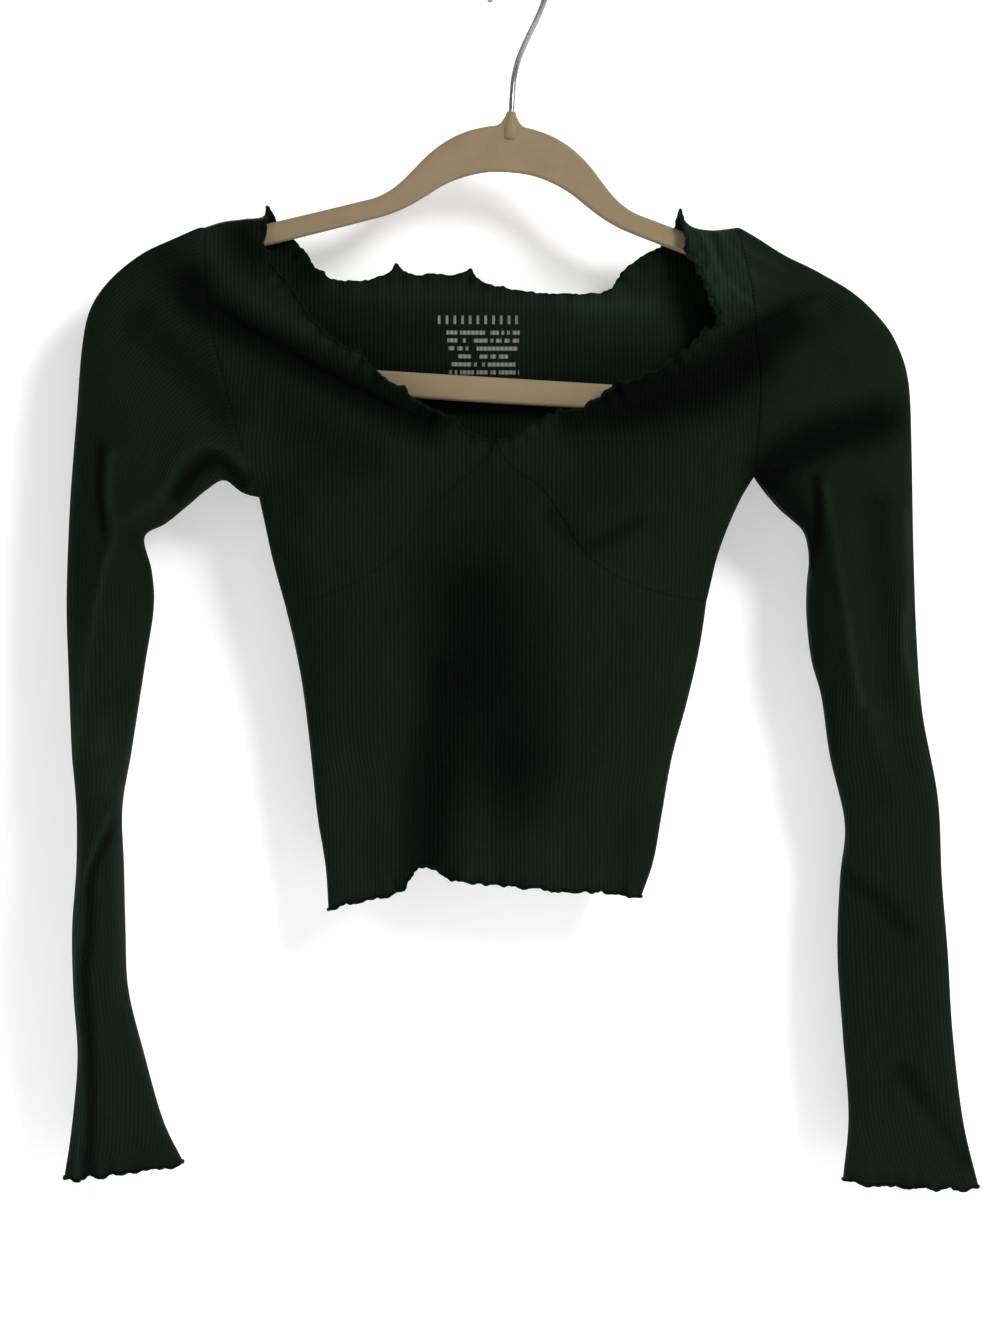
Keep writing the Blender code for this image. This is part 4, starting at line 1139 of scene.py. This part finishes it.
class CROPTOP_OT_stage(bpy.types.Operator):
    """Make the wall, floor, lights and camera"""

    bl_idname = "croptop.stage"
    bl_label = "Make stage"

    def execute(self, context):
        scene, studio = context.scene, context.scene.croptop_studio
        wall = plane("wall", (-2.2, studio.wall_gap, 1.4), (4.4, 0, 0), (0, 0, -2.2))
        wall.data.materials.append(one_sided("wall_paint"))
        floor = plane("floor", (-2.2, studio.wall_gap, -0.8), (4.4, 0, 0), (0, -3.2, 0))
        floor.data.materials.append(one_sided("floor_paint"))
        wall.visible_shadow = False  # lets the lamp behind it reach the back of the top
        world = bpy.data.worlds.new("studio")
        world.use_nodes = True
        world.node_tree.nodes["Background"].inputs[0].default_value = (1, 1, 1, 1)
        world.node_tree.nodes["Background"].inputs[1].default_value = studio.sky
        scene.world = world
        lamp("key", (1.0, -1.35, 0.5), (-0.02, 0, -0.38), 0.6, studio.key_power)
        lamp("fill", (-1.1, -1.4, -0.3), (-0.02, 0, -0.40), 1.0, studio.key_power * 0.12)
        lamp("back", (-0.8, 1.7, 0.5), (0, 0, -0.38), 1.2, studio.key_power * 0.9)
        camera = bpy.data.cameras.new("camera")
        camera.lens, camera.sensor_width = 70, 36
        eye = link("camera", camera)
        eye.location = (-0.0116, -1.4, -0.3853)
        eye.rotation_euler = (radians(90), 0, 0)
        scene.camera = eye
        scene.view_settings.view_transform = "Standard"
        return {"FINISHED"}


def plane(name, corner, one, two):
    c, a, b = map(Vector, (corner, one, two))
    mesh = bpy.data.meshes.new(name)
    mesh.from_pydata([c, c + b, c + a + b, c + a], [], [(0, 1, 2, 3)])
    return link(name, mesh)


def one_sided(name):
    """Matt pale paint that is clear from behind."""
    r = Recipe(name)
    grain = r.noise(r.place()[0], 90.0, 2.0) * 0.02 + 0.84
    paint = r.node("ShaderNodeVectorMath", {"operation": "SCALE"}, {0: (1.0, 1.0, 1.0), "Scale": grain})
    shade = r.finish(
        Base_Color=paint, Roughness=0.95, Specular_IOR_Level=0.1, Emission_Color=(1, 1, 1, 1), Emission_Strength=0.3)
    clear = r.node("ShaderNodeBsdfTransparent")
    behind = r.node("ShaderNodeNewGeometry", out=6)
    mixed = r.node("ShaderNodeMixShader", None, {0: behind, 1: r.shader.outputs[0], 2: clear})
    r.feed(r.tree.nodes["Material Output"].inputs[0], mixed)
    return shade


def lamp(name, place, target, size, power):
    light = bpy.data.lights.new(name, "AREA")
    light.shape, light.size, light.energy = "DISK", size, power
    obj = link(name, light)
    obj.location = place
    obj.rotation_euler = (Vector(target) - Vector(place)).to_track_quat("-Z", "Y").to_euler()
    return obj


class CROPTOP_PT_panel(bpy.types.Panel):
    bl_label = "Crop top"
    bl_idname = "CROPTOP_PT_panel"
    bl_space_type = "VIEW_3D"
    bl_region_type = "UI"
    bl_category = "Crop top"

    def draw(self, context):
        scene = context.scene
        for group, names in (
            (scene.croptop_cloth, ("dye", "rib_pitch", "edge_bead")),
            (scene.croptop_hanger, ("flock",)),
            (scene.croptop_studio, ("wall_gap", "key_power", "sky")),
        ):
            for name in names:
                self.layout.prop(group, name)
        for operator in (CROPTOP_OT_hanger, CROPTOP_OT_cloth, CROPTOP_OT_edges, CROPTOP_OT_stage):
            self.layout.operator(operator.bl_idname)


CLASSES = (
    CropTopCloth, CropTopHanger, CropTopStudio, CROPTOP_OT_cloth, CROPTOP_OT_edges, CROPTOP_OT_hanger,
    CROPTOP_OT_stage, CROPTOP_PT_panel,
)
GROUPS = {"croptop_cloth": CropTopCloth, "croptop_hanger": CropTopHanger, "croptop_studio": CropTopStudio}


def register():
    for cls in CLASSES:
        bpy.utils.register_class(cls)
    for name, group in GROUPS.items():
        setattr(bpy.types.Scene, name, bpy.props.PointerProperty(type=group))


def unregister():
    for name in GROUPS:
        delattr(bpy.types.Scene, name)
    for cls in reversed(CLASSES):
        bpy.utils.unregister_class(cls)


def main():
    register()
    bpy.ops.croptop.hanger()
    bpy.ops.croptop.cloth()
    bpy.ops.croptop.edges()
    bpy.ops.croptop.stage()


if __name__ == "__main__":
    main()
